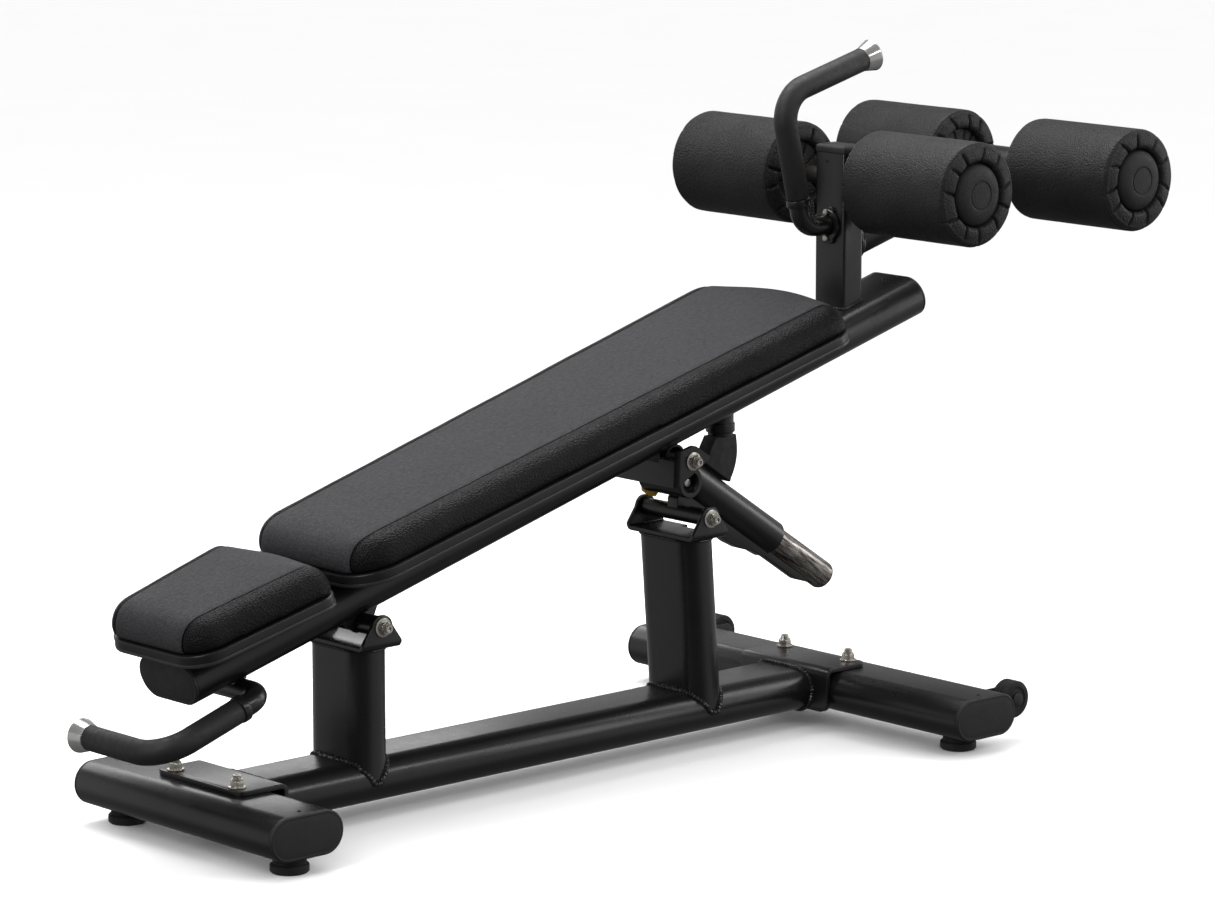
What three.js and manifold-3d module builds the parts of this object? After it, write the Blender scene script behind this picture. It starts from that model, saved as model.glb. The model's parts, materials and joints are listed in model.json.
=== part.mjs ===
// Adjustable decline sit up bench, in millimetres, +Z up.
//
// The welded base is two flat-oval cross tubes joined by a spine, with a short front post and a
// leaning rear post. The bench beam turns on the front post. A telescopic strut between the rear post
// and the beam sets its slope. Four foam rollers stand above the high end of the beam.
// The origin is under the middle of the whole bench, on the floor, and +X runs towards the rollers.

import * as THREE from 'three';
import { mergeVertices } from 'three/addons/utils/BufferGeometryUtils.js';
import Module from 'manifold-3d';

const wasm = await Module();
wasm.setup();

// ---- driving dimensions ----

const GAP = 0.3;                       // left between touching pieces
const TUBE_WIDTH = 120;                // flat-oval frame tube
const TUBE_HEIGHT = 60;
const WALL = 3;
const CAP_RIM = 5;                     // how far an end cap stands out of its tube
const CAP_PLUG = 18;                   // how far it reaches into the tube

const BASE_SPAN = 1130;                // front to rear cross tube, centre to centre
const FRONT_TUBE_LENGTH = 426;
const REAR_TUBE_LENGTH = 690;
const FOOT_HEIGHT = 24;
const FOOT_RADIUS = 26;
const FRONT_FOOT_Y = 174;
const REAR_FOOT_Y = 289;
const BASE_TOP = FOOT_HEIGHT + GAP + TUBE_HEIGHT;
const BASE_MIDDLE = BASE_TOP - TUBE_HEIGHT / 2;

const SADDLE_THICKNESS = 7;
const SADDLE_HALF_WIDTH = 90;
const SADDLE_OVERHANG = 15;            // past the cross tube's centre, away from the spine
const SADDLE_BOLT_Y = 66;

const PIVOT = { x: 246, z: 270.5 };    // beam hinge, above the front post
const STRUT_PIVOT = { x: 849, z: 339.5 };
const CLEVIS_DROP = 31;                // pivot to the underside of the clevis
const CLEVIS_HALF_WIDTH = 70;
const CLEVIS_HALF_LENGTH = 34;
const CLEVIS_PLATE = 6;
const REAR_POST_LEAN = 4.4;            // degrees, top towards the front
const PIVOT_BOLT_RADIUS = 6;

const WHEEL_RADIUS = 27;
const WHEEL_WIDTH = 24;
const WHEEL_Y = 305;
const WHEEL_X = BASE_SPAN + TUBE_WIDTH / 2 + WHEEL_RADIUS + 3;
const WHEEL_Z = 62;

const TILT = 15.6;                     // beam slope at rest, degrees
const BEAM_OFFSET = 46.4;              // beam centre line above the hinge
const BEAM_LOW = -306;                 // beam ends, along the beam from the hinge
const BEAM_HIGH = 1098;
const BEAM_TOP = BEAM_OFFSET + TUBE_HEIGHT / 2;

const BOARD_LIFT = 6;                  // batten between the beam and a pad board
const BOARD_THICKNESS = 18;
const PAD_THICKNESS = 44;
const HEAD_PAD = { low: -322, high: -84, lowHalf: 104, highHalf: 123, lowCorner: 48, highCorner: 34 };
const BACK_PAD = { low: -54, high: 892, lowHalf: 130, highHalf: 156, lowCorner: 62, highCorner: 44 };

const POST_WIDTH = 60;
const POST_DEPTH = 40;
const POST_X = 1170;
const POST_TOP = 829;
const AXLE_RADIUS = 12.5;
const FRONT_AXLE = { x: 1168.6, z: 791.4 };
const REAR_AXLE = { x: 1508.7, z: 783.7 };
const ROLLER_RADIUS = 75;
const ROLLER_INNER = 75;
const ROLLER_OUTER = 278;
const ROLLER_BORE = 13;
const ARM_RADIUS = 25;
const ARM_START_Z = 695;

const STEM_TOP = { x: 933.5, z: 482 };   // rest buffer stem, at the beam's underside

const GRIP_RADIUS = 17;
const ROD_RADIUS = 15;
const HANDLE_END_RADIUS = 23.5;
const HANDLE_END_LENGTH = 24;

const STRUT_TOP = { x: 818, z: 425 };  // pin between the strut and the beam bracket
const STRUT_SLOPE = 33.5;              // degrees below level, towards the rollers
const STRUT_AXIS = -4;                 // tube centre line below that pin
const SLEEVE_START = 52;
const SLEEVE_END = 262;
const SLEEVE_RADIUS = 26;
const SLEEVE_BORE = 21.6;
const STRUT_TUBE_RADIUS = 21;
const STRUT_TUBE_END = 388;
const EYE_RADIUS = 19.5;
const EYE_BORE = 15.5;                 // clearance for the open pivot of the linkage
const LATCH = { s: 38, z: -19.3 };     // latch pin, in the strut's own frame

const CURVE = 6;                       // half the segments in a tube's rounded side
const TURN = 20;                       // segments in a full turn

// ---- materials ----

function finish(color, roughness, metalness) {
  return new THREE.MeshStandardMaterial({ color, roughness, metalness });
}
const FRAME_BLACK = finish(0x1a1a1c, 0.42, 0.5);
const MATTE_PLASTIC = finish(0x17171a, 0.75, 0.0);
const RUBBER = finish(0x141415, 0.9, 0.0);
const NICKEL = finish(0xb9b4aa, 0.3, 1.0);
const CHROME = finish(0xd6d4d0, 0.12, 1.0);
const DARK_CHROME = finish(0x6f6a64, 0.28, 1.0);
const GRIP_RUBBER = finish(0x1d1d1e, 0.85, 0.0);
const LEATHER = finish(0x1c1c1e, 0.55, 0.0);
const BOARD_BLACK = finish(0x222224, 0.6, 0.0);
const YELLOW = finish(0xe0a92a, 0.45, 0.0);
const SPRING_STEEL = finish(0x8b8b8b, 0.4, 1.0);

// ---- shape helpers ----

const AXES = {
  x: new THREE.Matrix4().makeBasis(
    new THREE.Vector3(0, 1, 0), new THREE.Vector3(0, 0, 1), new THREE.Vector3(1, 0, 0)),
  y: new THREE.Matrix4().makeBasis(
    new THREE.Vector3(1, 0, 0), new THREE.Vector3(0, 0, 1), new THREE.Vector3(0, -1, 0)),
  z: new THREE.Matrix4(),
};
const degrees = THREE.MathUtils.degToRad;

function flatOval(width, height) {
  const radius = height / 2;
  const half = width / 2 - radius;
  const shape = new THREE.Shape();
  shape.moveTo(-half, -radius);
  shape.lineTo(half, -radius);
  shape.absarc(half, 0, radius, -Math.PI / 2, Math.PI / 2, false);
  shape.lineTo(-half, radius);
  shape.absarc(-half, 0, radius, Math.PI / 2, 1.5 * Math.PI, false);
  return shape;
}

function roundedBox(width, height, radius) {
  return roundedPolygon([
    [-width / 2, -height / 2], [width / 2, -height / 2],
    [width / 2, height / 2], [-width / 2, height / 2],
  ], radius);
}

// A closed outline through corner points [x, y, radius], each corner rounded by its own radius.
function roundedPolygon(points, radius = 0) {
  const shape = new THREE.Shape();
  const corner = points.map(([x, y, own]) => ({ at: new THREE.Vector2(x, y), radius: own ?? radius }));
  corner.forEach(({ at, radius: r }, i) => {
    const before = corner[(i + corner.length - 1) % corner.length].at;
    const after = corner[(i + 1) % corner.length].at;
    const back = before.clone().sub(at).normalize();
    const ahead = after.clone().sub(at).normalize();
    const reach = r / Math.tan(back.angleTo(ahead) / 2);
    const start = at.clone().addScaledVector(back, reach);
    const end = at.clone().addScaledVector(ahead, reach);
    if (i === 0) shape.moveTo(start.x, start.y);
    else shape.lineTo(start.x, start.y);
    if (r > 0) shape.quadraticCurveTo(at.x, at.y, end.x, end.y);
  });
  shape.closePath();
  return shape;
}

function circle(radius, x = 0, y = 0) {
  const shape = new THREE.Shape();
  shape.absarc(x, y, radius, 0, 2 * Math.PI, false);
  return shape;
}

function ring(outer, inner) {
  outer.holes.push(inner);
  return outer;
}

// A prism of the outline, centred on its own length, standing along the named axis.
function prism(shape, length, axis, curveSegments = CURVE) {
  const geometry = new THREE.ExtrudeGeometry(shape, { depth: length, bevelEnabled: false, curveSegments });
  geometry.translate(0, 0, -length / 2);
  return geometry.applyMatrix4(AXES[axis]);
}

function box(sizeX, sizeY, sizeZ, x = 0, y = 0, z = 0) {
  return new THREE.BoxGeometry(sizeX, sizeY, sizeZ).translate(x, y, z);
}

// A solid of revolution about Y, from [radius, y] points.
function turned(profile, segments = TURN) {
  const geometry = new THREE.LatheGeometry(profile.map(([r, y]) => new THREE.Vector2(r, y)), segments);
  return facingOut(geometry);
}

function rod(radius, from, to, segments = TURN) {
  return turned([[0, from], [radius, from], [radius, to], [0, to]], segments);
}

function signedVolume(geometry) {
  const plain = geometry.index ? geometry.toNonIndexed() : geometry;
  const place = plain.getAttribute('position');
  const [a, b, c] = [new THREE.Vector3(), new THREE.Vector3(), new THREE.Vector3()];
  let volume = 0;
  for (let i = 0; i < place.count; i += 3) {
    a.fromBufferAttribute(place, i);
    b.fromBufferAttribute(place, i + 1);
    c.fromBufferAttribute(place, i + 2);
    volume += a.dot(b.cross(c)) / 6;
  }
  return volume;
}

function facingOut(geometry) {
  if (signedVolume(geometry) > 0) return geometry;
  const index = geometry.getIndex().array;
  for (let i = 0; i < index.length; i += 3) [index[i], index[i + 1]] = [index[i + 1], index[i]];
  return geometry;
}

// A path of straight runs and round bends, with one step per run and a few per bend.
class BentPath extends THREE.Curve {
  constructor(corners, bend) {
    super();
    const points = corners.map((corner) => new THREE.Vector3(...corner));
    this.stations = [{ at: points[0], facing: points[1].clone().sub(points[0]).normalize() }];
    for (let i = 1; i < points.length - 1; i++) this.addBend(points[i - 1], points[i], points[i + 1], bend);
    this.stations.push({ at: points.at(-1), facing: points.at(-1).clone().sub(points.at(-2)).normalize() });
    this.steps = this.stations.length - 1;
  }

  addBend(before, corner, after, bend) {
    const back = before.clone().sub(corner).normalize();
    const ahead = after.clone().sub(corner).normalize();
    const opening = back.angleTo(ahead);
    const toCentre = back.clone().add(ahead).setLength(bend / Math.sin(opening / 2));
    const centre = corner.clone().add(toCentre);
    const axis = ahead.clone().cross(back).normalize();
    const turn = Math.PI - opening;
    const spoke = corner.clone().addScaledVector(back, bend / Math.tan(opening / 2)).sub(centre);
    const pieces = Math.ceil(turn / degrees(15));
    for (let i = 0; i <= pieces; i++) {
      const angle = turn * i / pieces;
      this.stations.push({
        at: spoke.clone().applyAxisAngle(axis, angle).add(centre),
        facing: back.clone().negate().applyAxisAngle(axis, angle),
      });
    }
  }

  getPointAt(share) {
    return this.stations[Math.round(share * this.steps)].at.clone();
  }

  getTangentAt(share) {
    return this.stations[Math.round(share * this.steps)].facing.clone();
  }
}

// A round bar through corner points, each corner bent to the given radius.
function bentRod(corners, radius, bend, sides = 8) {
  const path = new BentPath(corners, bend);
  return new THREE.ExtrudeGeometry(circle(radius), {
    extrudePath: path, steps: path.steps, curveSegments: sides, bevelEnabled: false,
  });
}

// ---- joining and cutting ----

function solid(geometry) {
  const bare = geometry.clone();
  bare.deleteAttribute('normal');
  bare.deleteAttribute('uv');
  const merged = mergeVertices(bare, 1e-4);
  return new wasm.Manifold(new wasm.Mesh({
    numProp: 3,
    vertProperties: new Float32Array(merged.getAttribute('position').array),
    triVerts: new Uint32Array(merged.getIndex().array),
  }));
}

function surface(manifold) {
  const mesh = manifold.getMesh();
  const geometry = new THREE.BufferGeometry();
  geometry.setAttribute('position', new THREE.BufferAttribute(new Float32Array(mesh.vertProperties), 3));
  geometry.setIndex(new THREE.BufferAttribute(new Uint32Array(mesh.triVerts), 1));
  geometry.computeVertexNormals();
  return geometry;
}

function joined(...pieces) {
  return surface(pieces.map(solid).reduce((whole, piece) => whole.add(piece)));
}

function cut(body, ...tools) {
  return surface(tools.map(solid).reduce((left, tool) => left.subtract(tool), solid(body)));
}

function common(first, second) {
  return surface(solid(first).intersect(solid(second)));
}

// ---- placing ----

function place(group, name, geometry, material, x = 0, y = 0, z = 0) {
  const mesh = new THREE.Mesh(geometry, material);
  mesh.name = name;
  mesh.position.set(x, y, z);
  group.add(mesh);
  return mesh;
}

const sideName = (side) => (side > 0 ? 'left' : 'right');
const SIDES = [1, -1];

// ---- shared pieces ----

function frameTube(length, axis) {
  const inside = flatOval(TUBE_WIDTH - 2 * WALL, TUBE_HEIGHT - 2 * WALL);
  return prism(ring(flatOval(TUBE_WIDTH, TUBE_HEIGHT), inside), length, axis);
}

// A moulded cap: a domed face plate with a plug. It closes the +X end of a frame tube.
function tubeCap() {
  const bevel = 2;
  const face = new THREE.ExtrudeGeometry(flatOval(TUBE_WIDTH - 2 * bevel, TUBE_HEIGHT - 2 * bevel), {
    depth: CAP_RIM - bevel, bevelThickness: bevel, bevelSize: bevel, bevelSegments: 1, curveSegments: CURVE,
  });
  const flatBack = box(4 * bevel, 2 * TUBE_WIDTH, 2 * TUBE_HEIGHT, -2 * bevel, 0, 0);
  const plate = cut(face.applyMatrix4(AXES.x), flatBack);
  const slack = WALL + 2 * GAP;
  const plug = prism(flatOval(TUBE_WIDTH - 2 * slack, TUBE_HEIGHT - 2 * slack), CAP_PLUG, 'x', 5);
  plug.translate(1 - CAP_PLUG / 2, 0, 0);
  return joined(plate, plug);
}

// A bent steel clevis with two tapered ears, its pivot axis at the origin along Y.
function clevis() {
  const w = CLEVIS_HALF_WIDTH;
  const t = CLEVIS_PLATE;
  const top = 16;
  const bottom = -CLEVIS_DROP;
  const bend = 8;
  const channel = roundedPolygon([
    [-w, top, 0], [-w, bottom, bend], [w, bottom, bend], [w, top, 0],
    [w - t, top, 0], [w - t, bottom + t, bend - t], [t - w, bottom + t, bend - t], [t - w, top, 0],
  ]);
  const ears = roundedPolygon([
    [-CLEVIS_HALF_LENGTH, bottom, 4], [CLEVIS_HALF_LENGTH, bottom, 4],
    [CLEVIS_HALF_LENGTH, bottom + 10, 4], [14, top, 12], [-14, top, 12],
    [-CLEVIS_HALF_LENGTH, bottom + 10, 4],
  ]);
  const body = common(prism(channel, 3 * CLEVIS_HALF_LENGTH, 'x', 4), prism(ears, 3 * w, 'y', 6));
  return cut(body, rod(PIVOT_BOLT_RADIUS + GAP, -2 * w, 2 * w));
}

// A through bolt with a washer and a nut at each end, along Y. reach is half the width it clamps.
function pivotBolt(reach) {
  const washer = 2;
  const hexRadius = 10.5;
  const hexHeight = 9;
  const shank = rod(PIVOT_BOLT_RADIUS, -reach - hexHeight - 5, reach + hexHeight + 5, 12);
  const pieces = [shank];
  for (const side of SIDES) {
    const outside = side * (reach + GAP);
    pieces.push(rod(13, Math.min(outside, outside + side * washer), Math.max(outside, outside + side * washer), 16));
    const nutStart = outside + side * (washer - 0.2);
    pieces.push(hexagon(hexRadius, Math.min(nutStart, nutStart + side * hexHeight), hexHeight));
  }
  return joined(...pieces);
}

function hexagon(radius, from, height) {
  return new THREE.CylinderGeometry(radius, radius, height, 6).translate(0, from + height / 2, 0);
}

// ---- base ----

function saddle() {
  // An angle plate: it lies on the cross tube and turns down behind it, to carry the spine.
  const t = SADDLE_THICKNESS;
  const back = TUBE_WIDTH / 2 + GAP;
  const top = BASE_TOP + GAP;
  const low = BASE_TOP - TUBE_HEIGHT + 4;
  const section = roundedPolygon([
    [-SADDLE_OVERHANG, top, 0], [back, top, 8], [back, low, 0], [back + t, low, 0],
    [back + t, top + t, 8 + t], [-SADDLE_OVERHANG, top + t, 0],
  ]);
  const corner = 12;
  const trim = roundedBox(2 * SADDLE_HALF_WIDTH, 400, corner);
  const body = common(prism(section, 4 * SADDLE_HALF_WIDTH, 'y', 6), prism(trim, 400, 'x', 6));
  const holes = SIDES.map((side) => boltHole(0, side * SADDLE_BOLT_Y));
  return cut(body, ...holes);
}

function boltHole(x, y) {
  return rod(6.4, 0, 2 * BASE_TOP, 12).rotateX(Math.PI / 2).translate(x, y, 0);
}

function crossTube(length) {
  const tube = frameTube(length - 2 * (CAP_RIM + GAP), 'y').translate(0, 0, BASE_MIDDLE);
  return cut(tube, ...SIDES.map((side) => boltHole(0, side * SADDLE_BOLT_Y)));
}

// A bolt up through the cross tube and saddle, with its washer and nut on top.
function saddleBolt() {
  const under = BASE_TOP - TUBE_HEIGHT - GAP;
  const seat = BASE_TOP + GAP + SADDLE_THICKNESS + GAP;
  const profile = [
    [0, under - 5], [9, under - 5], [11, under], [6, under], [6, seat], [12, seat], [12, seat + 2],
    [6, seat + 2], [6, seat + 16], [5, seat + 17], [0, seat + 17],
  ];
  const body = turned(profile, 12).rotateX(Math.PI / 2);
  const nut = hexagon(10, seat + 1.8, 9).rotateX(Math.PI / 2);
  return joined(body, nut);
}

function foot() {
  return turned([
    [0, 0], [FOOT_RADIUS - 3, 0], [FOOT_RADIUS, 3], [FOOT_RADIUS, 12], [FOOT_RADIUS - 5, FOOT_HEIGHT],
    [0, FOOT_HEIGHT],
  ]).rotateX(Math.PI / 2);
}

function addCrossTube(group, name, length, footY, number) {
  place(group, name, crossTube(length), FRAME_BLACK);
  SIDES.forEach((side, i) => {
    const cap = place(group, `base_cap_${number + i}`, tubeCap(), MATTE_PLASTIC);
    cap.rotation.z = side * Math.PI / 2;
    cap.position.set(0, side * (length / 2 - CAP_RIM), BASE_MIDDLE);
    place(group, `foot_${number + i}`, foot(), RUBBER, 0, side * footY, 0);
    place(group, `saddle_bolt_${number + i}`, saddleBolt(), NICKEL, 0, side * SADDLE_BOLT_Y, 0);
  });
}

function spine() {
  const inset = TUBE_WIDTH / 2 + SADDLE_THICKNESS + 2 * GAP;
  return frameTube(BASE_SPAN - 2 * inset, 'x').translate(BASE_SPAN / 2, 0, BASE_MIDDLE);
}

// A post of frame tube standing on the spine, with its ends level and its top at (x, top).
function post(x, top, lean) {
  const bottom = BASE_TOP + GAP;
  const height = top - bottom;
  const shape = ring(flatOval(TUBE_WIDTH, TUBE_HEIGHT), flatOval(TUBE_WIDTH - 2 * WALL, TUBE_HEIGHT - 2 * WALL));
  const geometry = prism(shape, height, 'z').rotateZ(Math.PI / 2).translate(0, 0, -height / 2);
  const slant = -Math.tan(degrees(lean));
  geometry.applyMatrix4(new THREE.Matrix4().set(1, 0, slant, 0, 0, 1, 0, 0, 0, 0, 1, 0, 0, 0, 0, 1));
  return geometry.translate(x, 0, top);
}

// A stub axle on a small plate welded to the rear cross tube. side is +1 for +Y.
function wheelBracket(side) {
  const plate = 5;
  const inner = WHEEL_Y - WHEEL_WIDTH / 2 - plate - 2;
  const reach = WHEEL_X + 14;
  const start = BASE_SPAN + 30;
  const outline = roundedPolygon([
    [start, WHEEL_Z - 14, 2], [reach, WHEEL_Z - 14, 10], [reach, WHEEL_Z + 14, 10], [start, WHEEL_Z + 14, 2],
  ]);
  const arm = prism(outline, plate, 'y', 5).translate(0, inner + plate / 2, 0);
  const outside = WHEEL_Y + WHEEL_WIDTH / 2;
  const axle = turned([
    [0, inner], [6, inner], [6, outside + 1], [10, outside + 1], [10, outside + 5], [0, outside + 5],
  ], 24).translate(WHEEL_X, 0, WHEEL_Z);
  const tubeSpace = prism(flatOval(TUBE_WIDTH + 2 * GAP, TUBE_HEIGHT + 2 * GAP), 900, 'y');
  const trimmed = cut(joined(arm, axle), tubeSpace.translate(BASE_SPAN, 0, BASE_MIDDLE));
  return side > 0 ? trimmed : mirrored(trimmed);
}

function mirrored(geometry) {
  return facingOut(geometry.clone().scale(1, -1, 1));
}

function wheel() {
  const half = WHEEL_WIDTH / 2;
  return turned([
    [6.4, -half], [WHEEL_RADIUS - 8, -half], [WHEEL_RADIUS - 7, 2 - half], [WHEEL_RADIUS - 3, 2 - half],
    [WHEEL_RADIUS, 5 - half], [WHEEL_RADIUS, half - 5], [WHEEL_RADIUS - 3, half - 2],
    [WHEEL_RADIUS - 7, half - 2], [WHEEL_RADIUS - 8, half], [6.4, half], [6.4, -half],
  ]);
}

function buildBase() {
  const base = new THREE.Group();
  addCrossTube(base, 'front_cross_tube', FRONT_TUBE_LENGTH, FRONT_FOOT_Y, 1);
  const rear = new THREE.Group();
  rear.position.x = BASE_SPAN;
  base.add(rear);
  addCrossTube(rear, 'rear_cross_tube', REAR_TUBE_LENGTH, REAR_FOOT_Y, 3);
  place(base, 'front_saddle', saddle(), FRAME_BLACK);
  place(rear, 'rear_saddle', saddle(), FRAME_BLACK).rotation.z = Math.PI;
  place(base, 'base_spine', spine(), FRAME_BLACK);
  const frontTop = PIVOT.z - CLEVIS_DROP - GAP;
  const rearTop = STRUT_PIVOT.z - CLEVIS_DROP - GAP;
  place(base, 'front_post', post(PIVOT.x - 2, frontTop, 0), FRAME_BLACK);
  place(base, 'rear_post', post(STRUT_PIVOT.x - 2, rearTop, REAR_POST_LEAN), FRAME_BLACK);
  place(base, 'front_clevis', clevis(), FRAME_BLACK, PIVOT.x, 0, PIVOT.z);
  // The strut's keel swings down through a notch in the rear edge of its clevis.
  const notch = box(28, 28, 20, CLEVIS_HALF_LENGTH, 0, -CLEVIS_DROP + CLEVIS_PLATE / 2);
  place(base, 'rear_clevis', cut(clevis(), notch), FRAME_BLACK, STRUT_PIVOT.x, 0, STRUT_PIVOT.z);
  place(base, 'beam_hinge_bolt', pivotBolt(CLEVIS_HALF_WIDTH), NICKEL, PIVOT.x, 0, PIVOT.z);
  place(base, 'strut_hinge_bolt', pivotBolt(CLEVIS_HALF_WIDTH), NICKEL, STRUT_PIVOT.x, 0, STRUT_PIVOT.z);
  for (const side of SIDES) {
    place(base, `wheel_bracket_${sideName(side)}`, wheelBracket(side), FRAME_BLACK);
    place(base, `wheel_${sideName(side)}`, wheel(), RUBBER, WHEEL_X, side * WHEEL_Y, WHEEL_Z);
  }
  return base;
}

// ---- bench beam: its frame has the hinge at the origin and +X up along the beam ----

function hingeBarrel() {
  // A cross barrel on the hinge bolt, with two cheeks welded up to the beam.
  const reach = CLEVIS_HALF_WIDTH - CLEVIS_PLATE - 0.6;
  const cheek = roundedPolygon([
    [-12, -10, 8], [12, -10, 8], [34, BEAM_OFFSET - TUBE_HEIGHT / 2 - GAP, 0],
    [-34, BEAM_OFFSET - TUBE_HEIGHT / 2 - GAP, 0],
  ]);
  const cheeks = SIDES.map((side) => prism(cheek, 6, 'y', 5).translate(0, side * 24, 0));
  const body = joined(rod(14, -reach, reach), ...cheeks);
  return cut(body, rod(PIVOT_BOLT_RADIUS + GAP, -2 * reach, 2 * reach));
}

function strutBracket() {
  // A channel hung under the beam: a web across its front edge and two ears that carry the strut pin.
  const pin = beamPoint(STRUT_TOP);
  const half = 66;
  const t = 6;
  const front = pin.x - 40;
  const back = pin.x + 60;
  const channel = roundedPolygon([
    [back, -half, 0], [front, -half, 8], [front, half, 8], [back, half, 0],
    [back, half - t, 0], [front + t, half - t, 2], [front + t, t - half, 2], [back, t - half, 0],
  ]);
  const under = BEAM_OFFSET - TUBE_HEIGHT / 2 - GAP;
  const ear = roundedPolygon([
    [front - 1, under + 34, 0], [front - 1, pin.z - 25, 2], [front + 2, pin.z - 26, 2],
    [pin.x + 35, pin.z - 8, 3], [pin.x + 9, pin.z + 21, 12], [pin.x - 21, pin.z + 22, 3],
    [pin.x - 26, under + 34, 0],
  ]);
  const body = common(prism(channel, 240, 'z', 5), prism(ear, 4 * half, 'y', 6));
  const beamSpace = prism(flatOval(TUBE_WIDTH + 2 * GAP, TUBE_HEIGHT + 2 * GAP), 400, 'x');
  beamSpace.translate(pin.x, 0, BEAM_OFFSET);
  const hole = rod(PIVOT_BOLT_RADIUS + GAP, -2 * half, 2 * half).translate(pin.x, 0, pin.z);
  return cut(body, beamSpace, hole);
}

// Where a point of the base frame lies in the tilted beam frame.
function beamPoint({ x, z }) {
  const point = new THREE.Vector2(x - PIVOT.x, z - PIVOT.z);
  point.rotateAround(new THREE.Vector2(), -degrees(TILT));
  return { x: point.x, z: point.y };
}

// The outline of a pad: wider towards its high end, with the high end bowed out.
function padOutline({ low, high, lowHalf, highHalf, lowCorner, highCorner }, inset = 0, bow = 22) {
  return roundedPolygon([
    [low + inset, inset - lowHalf, lowCorner], [high - bow - inset, inset - highHalf, highCorner],
    [high + 6 - inset, 0, 300], [high - bow - inset, highHalf - inset, highCorner],
    [low + inset, lowHalf - inset, lowCorner],
  ]);
}

function padBoard(pad) {
  const middle = BEAM_TOP + BOARD_LIFT + BOARD_THICKNESS / 2;
  const board = prism(padOutline(pad, 0, pad.bow), BOARD_THICKNESS, 'z', 6).translate(0, 0, middle);
  const battens = [0.22, 0.78].map((share) => {
    const x = pad.low + share * (pad.high - pad.low);
    return box(50, 56, BOARD_LIFT + 1 - GAP, x, 0, BEAM_TOP + GAP + (BOARD_LIFT + 1 - GAP) / 2);
  });
  return joined(board, ...battens);
}

// A plain pad block whose top edge is drawn in over the board.
function padBlock(pad) {
  const bottom = BEAM_TOP + BOARD_LIFT + BOARD_THICKNESS + GAP;
  const draft = 12;
  const geometry = new THREE.ExtrudeGeometry(padOutline(pad, draft + 1, pad.bow), {
    depth: PAD_THICKNESS - draft, bevelThickness: draft, bevelSize: draft, bevelSegments: 3, curveSegments: 6,
  });
  const below = box(4000, 1000, 200, 0, 0, -100);
  return cut(geometry, below).translate(0, 0, bottom);
}

function rollerPost() {
  const foot = 540;
  const height = POST_TOP - foot;
  const shape = ring(roundedBox(POST_DEPTH, POST_WIDTH, 5), roundedBox(POST_DEPTH - 2 * WALL, POST_WIDTH - 2 * WALL, 3));
  const tube = prism(shape, height, 'z', 4).translate(POST_X, 0, foot + height / 2);
  const beamSpace = box(4000, 1000, 1000, 0, 0, BEAM_TOP + GAP - 500);
  intoBase(beamSpace);
  const axleHole = rod(AXLE_RADIUS + GAP, -100, 100).translate(FRONT_AXLE.x, 0, FRONT_AXLE.z);
  return intoBeam(cut(tube, beamSpace, axleHole));
}

function intoBase(geometry) {
  return geometry.rotateY(-degrees(TILT)).translate(PIVOT.x, 0, PIVOT.z);
}

function intoBeam(geometry) {
  return geometry.translate(-PIVOT.x, 0, -PIVOT.z).rotateY(degrees(TILT));
}

function rollerPostCap() {
  const rim = 11;
  const slack = WALL + 2 * GAP;
  const lid = prism(roundedBox(POST_DEPTH + 1, POST_WIDTH + 1, 5), rim, 'z', 4).translate(0, 0, rim / 2);
  const plug = prism(roundedBox(POST_DEPTH - 2 * slack, POST_WIDTH - 2 * slack, 3), 12, 'z', 4).translate(0, 0, -5);
  return intoBeam(joined(lid, plug).translate(POST_X, 0, POST_TOP + GAP));
}

// An axle along Y with a retaining disc at each end.
function axle() {
  const end = ROLLER_OUTER + 1;
  const disc = 24;
  return turned([
    [0, -end - 6], [disc - 6, -end - 6], [disc, -end - 2], [disc, -end], [AXLE_RADIUS, -end], [AXLE_RADIUS, end],
    [disc, end], [disc, end + 2], [disc - 6, end + 6], [0, end + 6],
  ]);
}

// A foam roller about Y, side +1 or -1.
function roller() {
  const soft = 12;
  const half = (ROLLER_OUTER - ROLLER_INNER) / 2;
  const r = ROLLER_RADIUS;
  return turned([
    [ROLLER_BORE, -half], [r - soft, -half], [r - 0.3 * soft, 0.3 * soft - half], [r, soft - half],
    [r, half - soft], [r - 0.3 * soft, half - 0.3 * soft], [r - soft, half], [ROLLER_BORE, half],
    [ROLLER_BORE, -half],
  ]);
}

// The arm from the post to the rear axle, with a boss that the axle runs through.
function rollerArm() {
  const start = POST_X + POST_DEPTH / 2 + GAP;
  const run = REAR_AXLE.x - start;
  const rise = REAR_AXLE.z - ARM_START_Z;
  const length = Math.hypot(run, rise);
  const slope = Math.atan2(rise, run);
  const bar = rod(ARM_RADIUS, -20, length - 8).rotateZ(-Math.PI / 2).rotateY(-slope);
  bar.translate(start, 0, ARM_START_Z);
  const flange = rod(ARM_RADIUS + 3, 0, 8).rotateZ(-Math.PI / 2).translate(start, 0, ARM_START_Z);
  const boss = rod(ARM_RADIUS + 2, -36, 36).translate(REAR_AXLE.x, 0, REAR_AXLE.z);
  const behind = box(200, 200, 400, start - 100, 0, ARM_START_Z);
  const bore = rod(AXLE_RADIUS + GAP, -100, 100).translate(REAR_AXLE.x, 0, REAR_AXLE.z);
  return intoBeam(cut(joined(bar, flange, boss), behind, bore));
}

// A flared metal end for a hand grip, along +Y from the grip.
function handleEnd() {
  const r = HANDLE_END_RADIUS;
  return turned([
    [0, 0], [GRIP_RADIUS + 1, 0], [r - 1.5, HANDLE_END_LENGTH - 6], [r, HANDLE_END_LENGTH - 3],
    [r - 3, HANDLE_END_LENGTH - 0.5], [0, HANDLE_END_LENGTH],
  ]);
}

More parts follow.
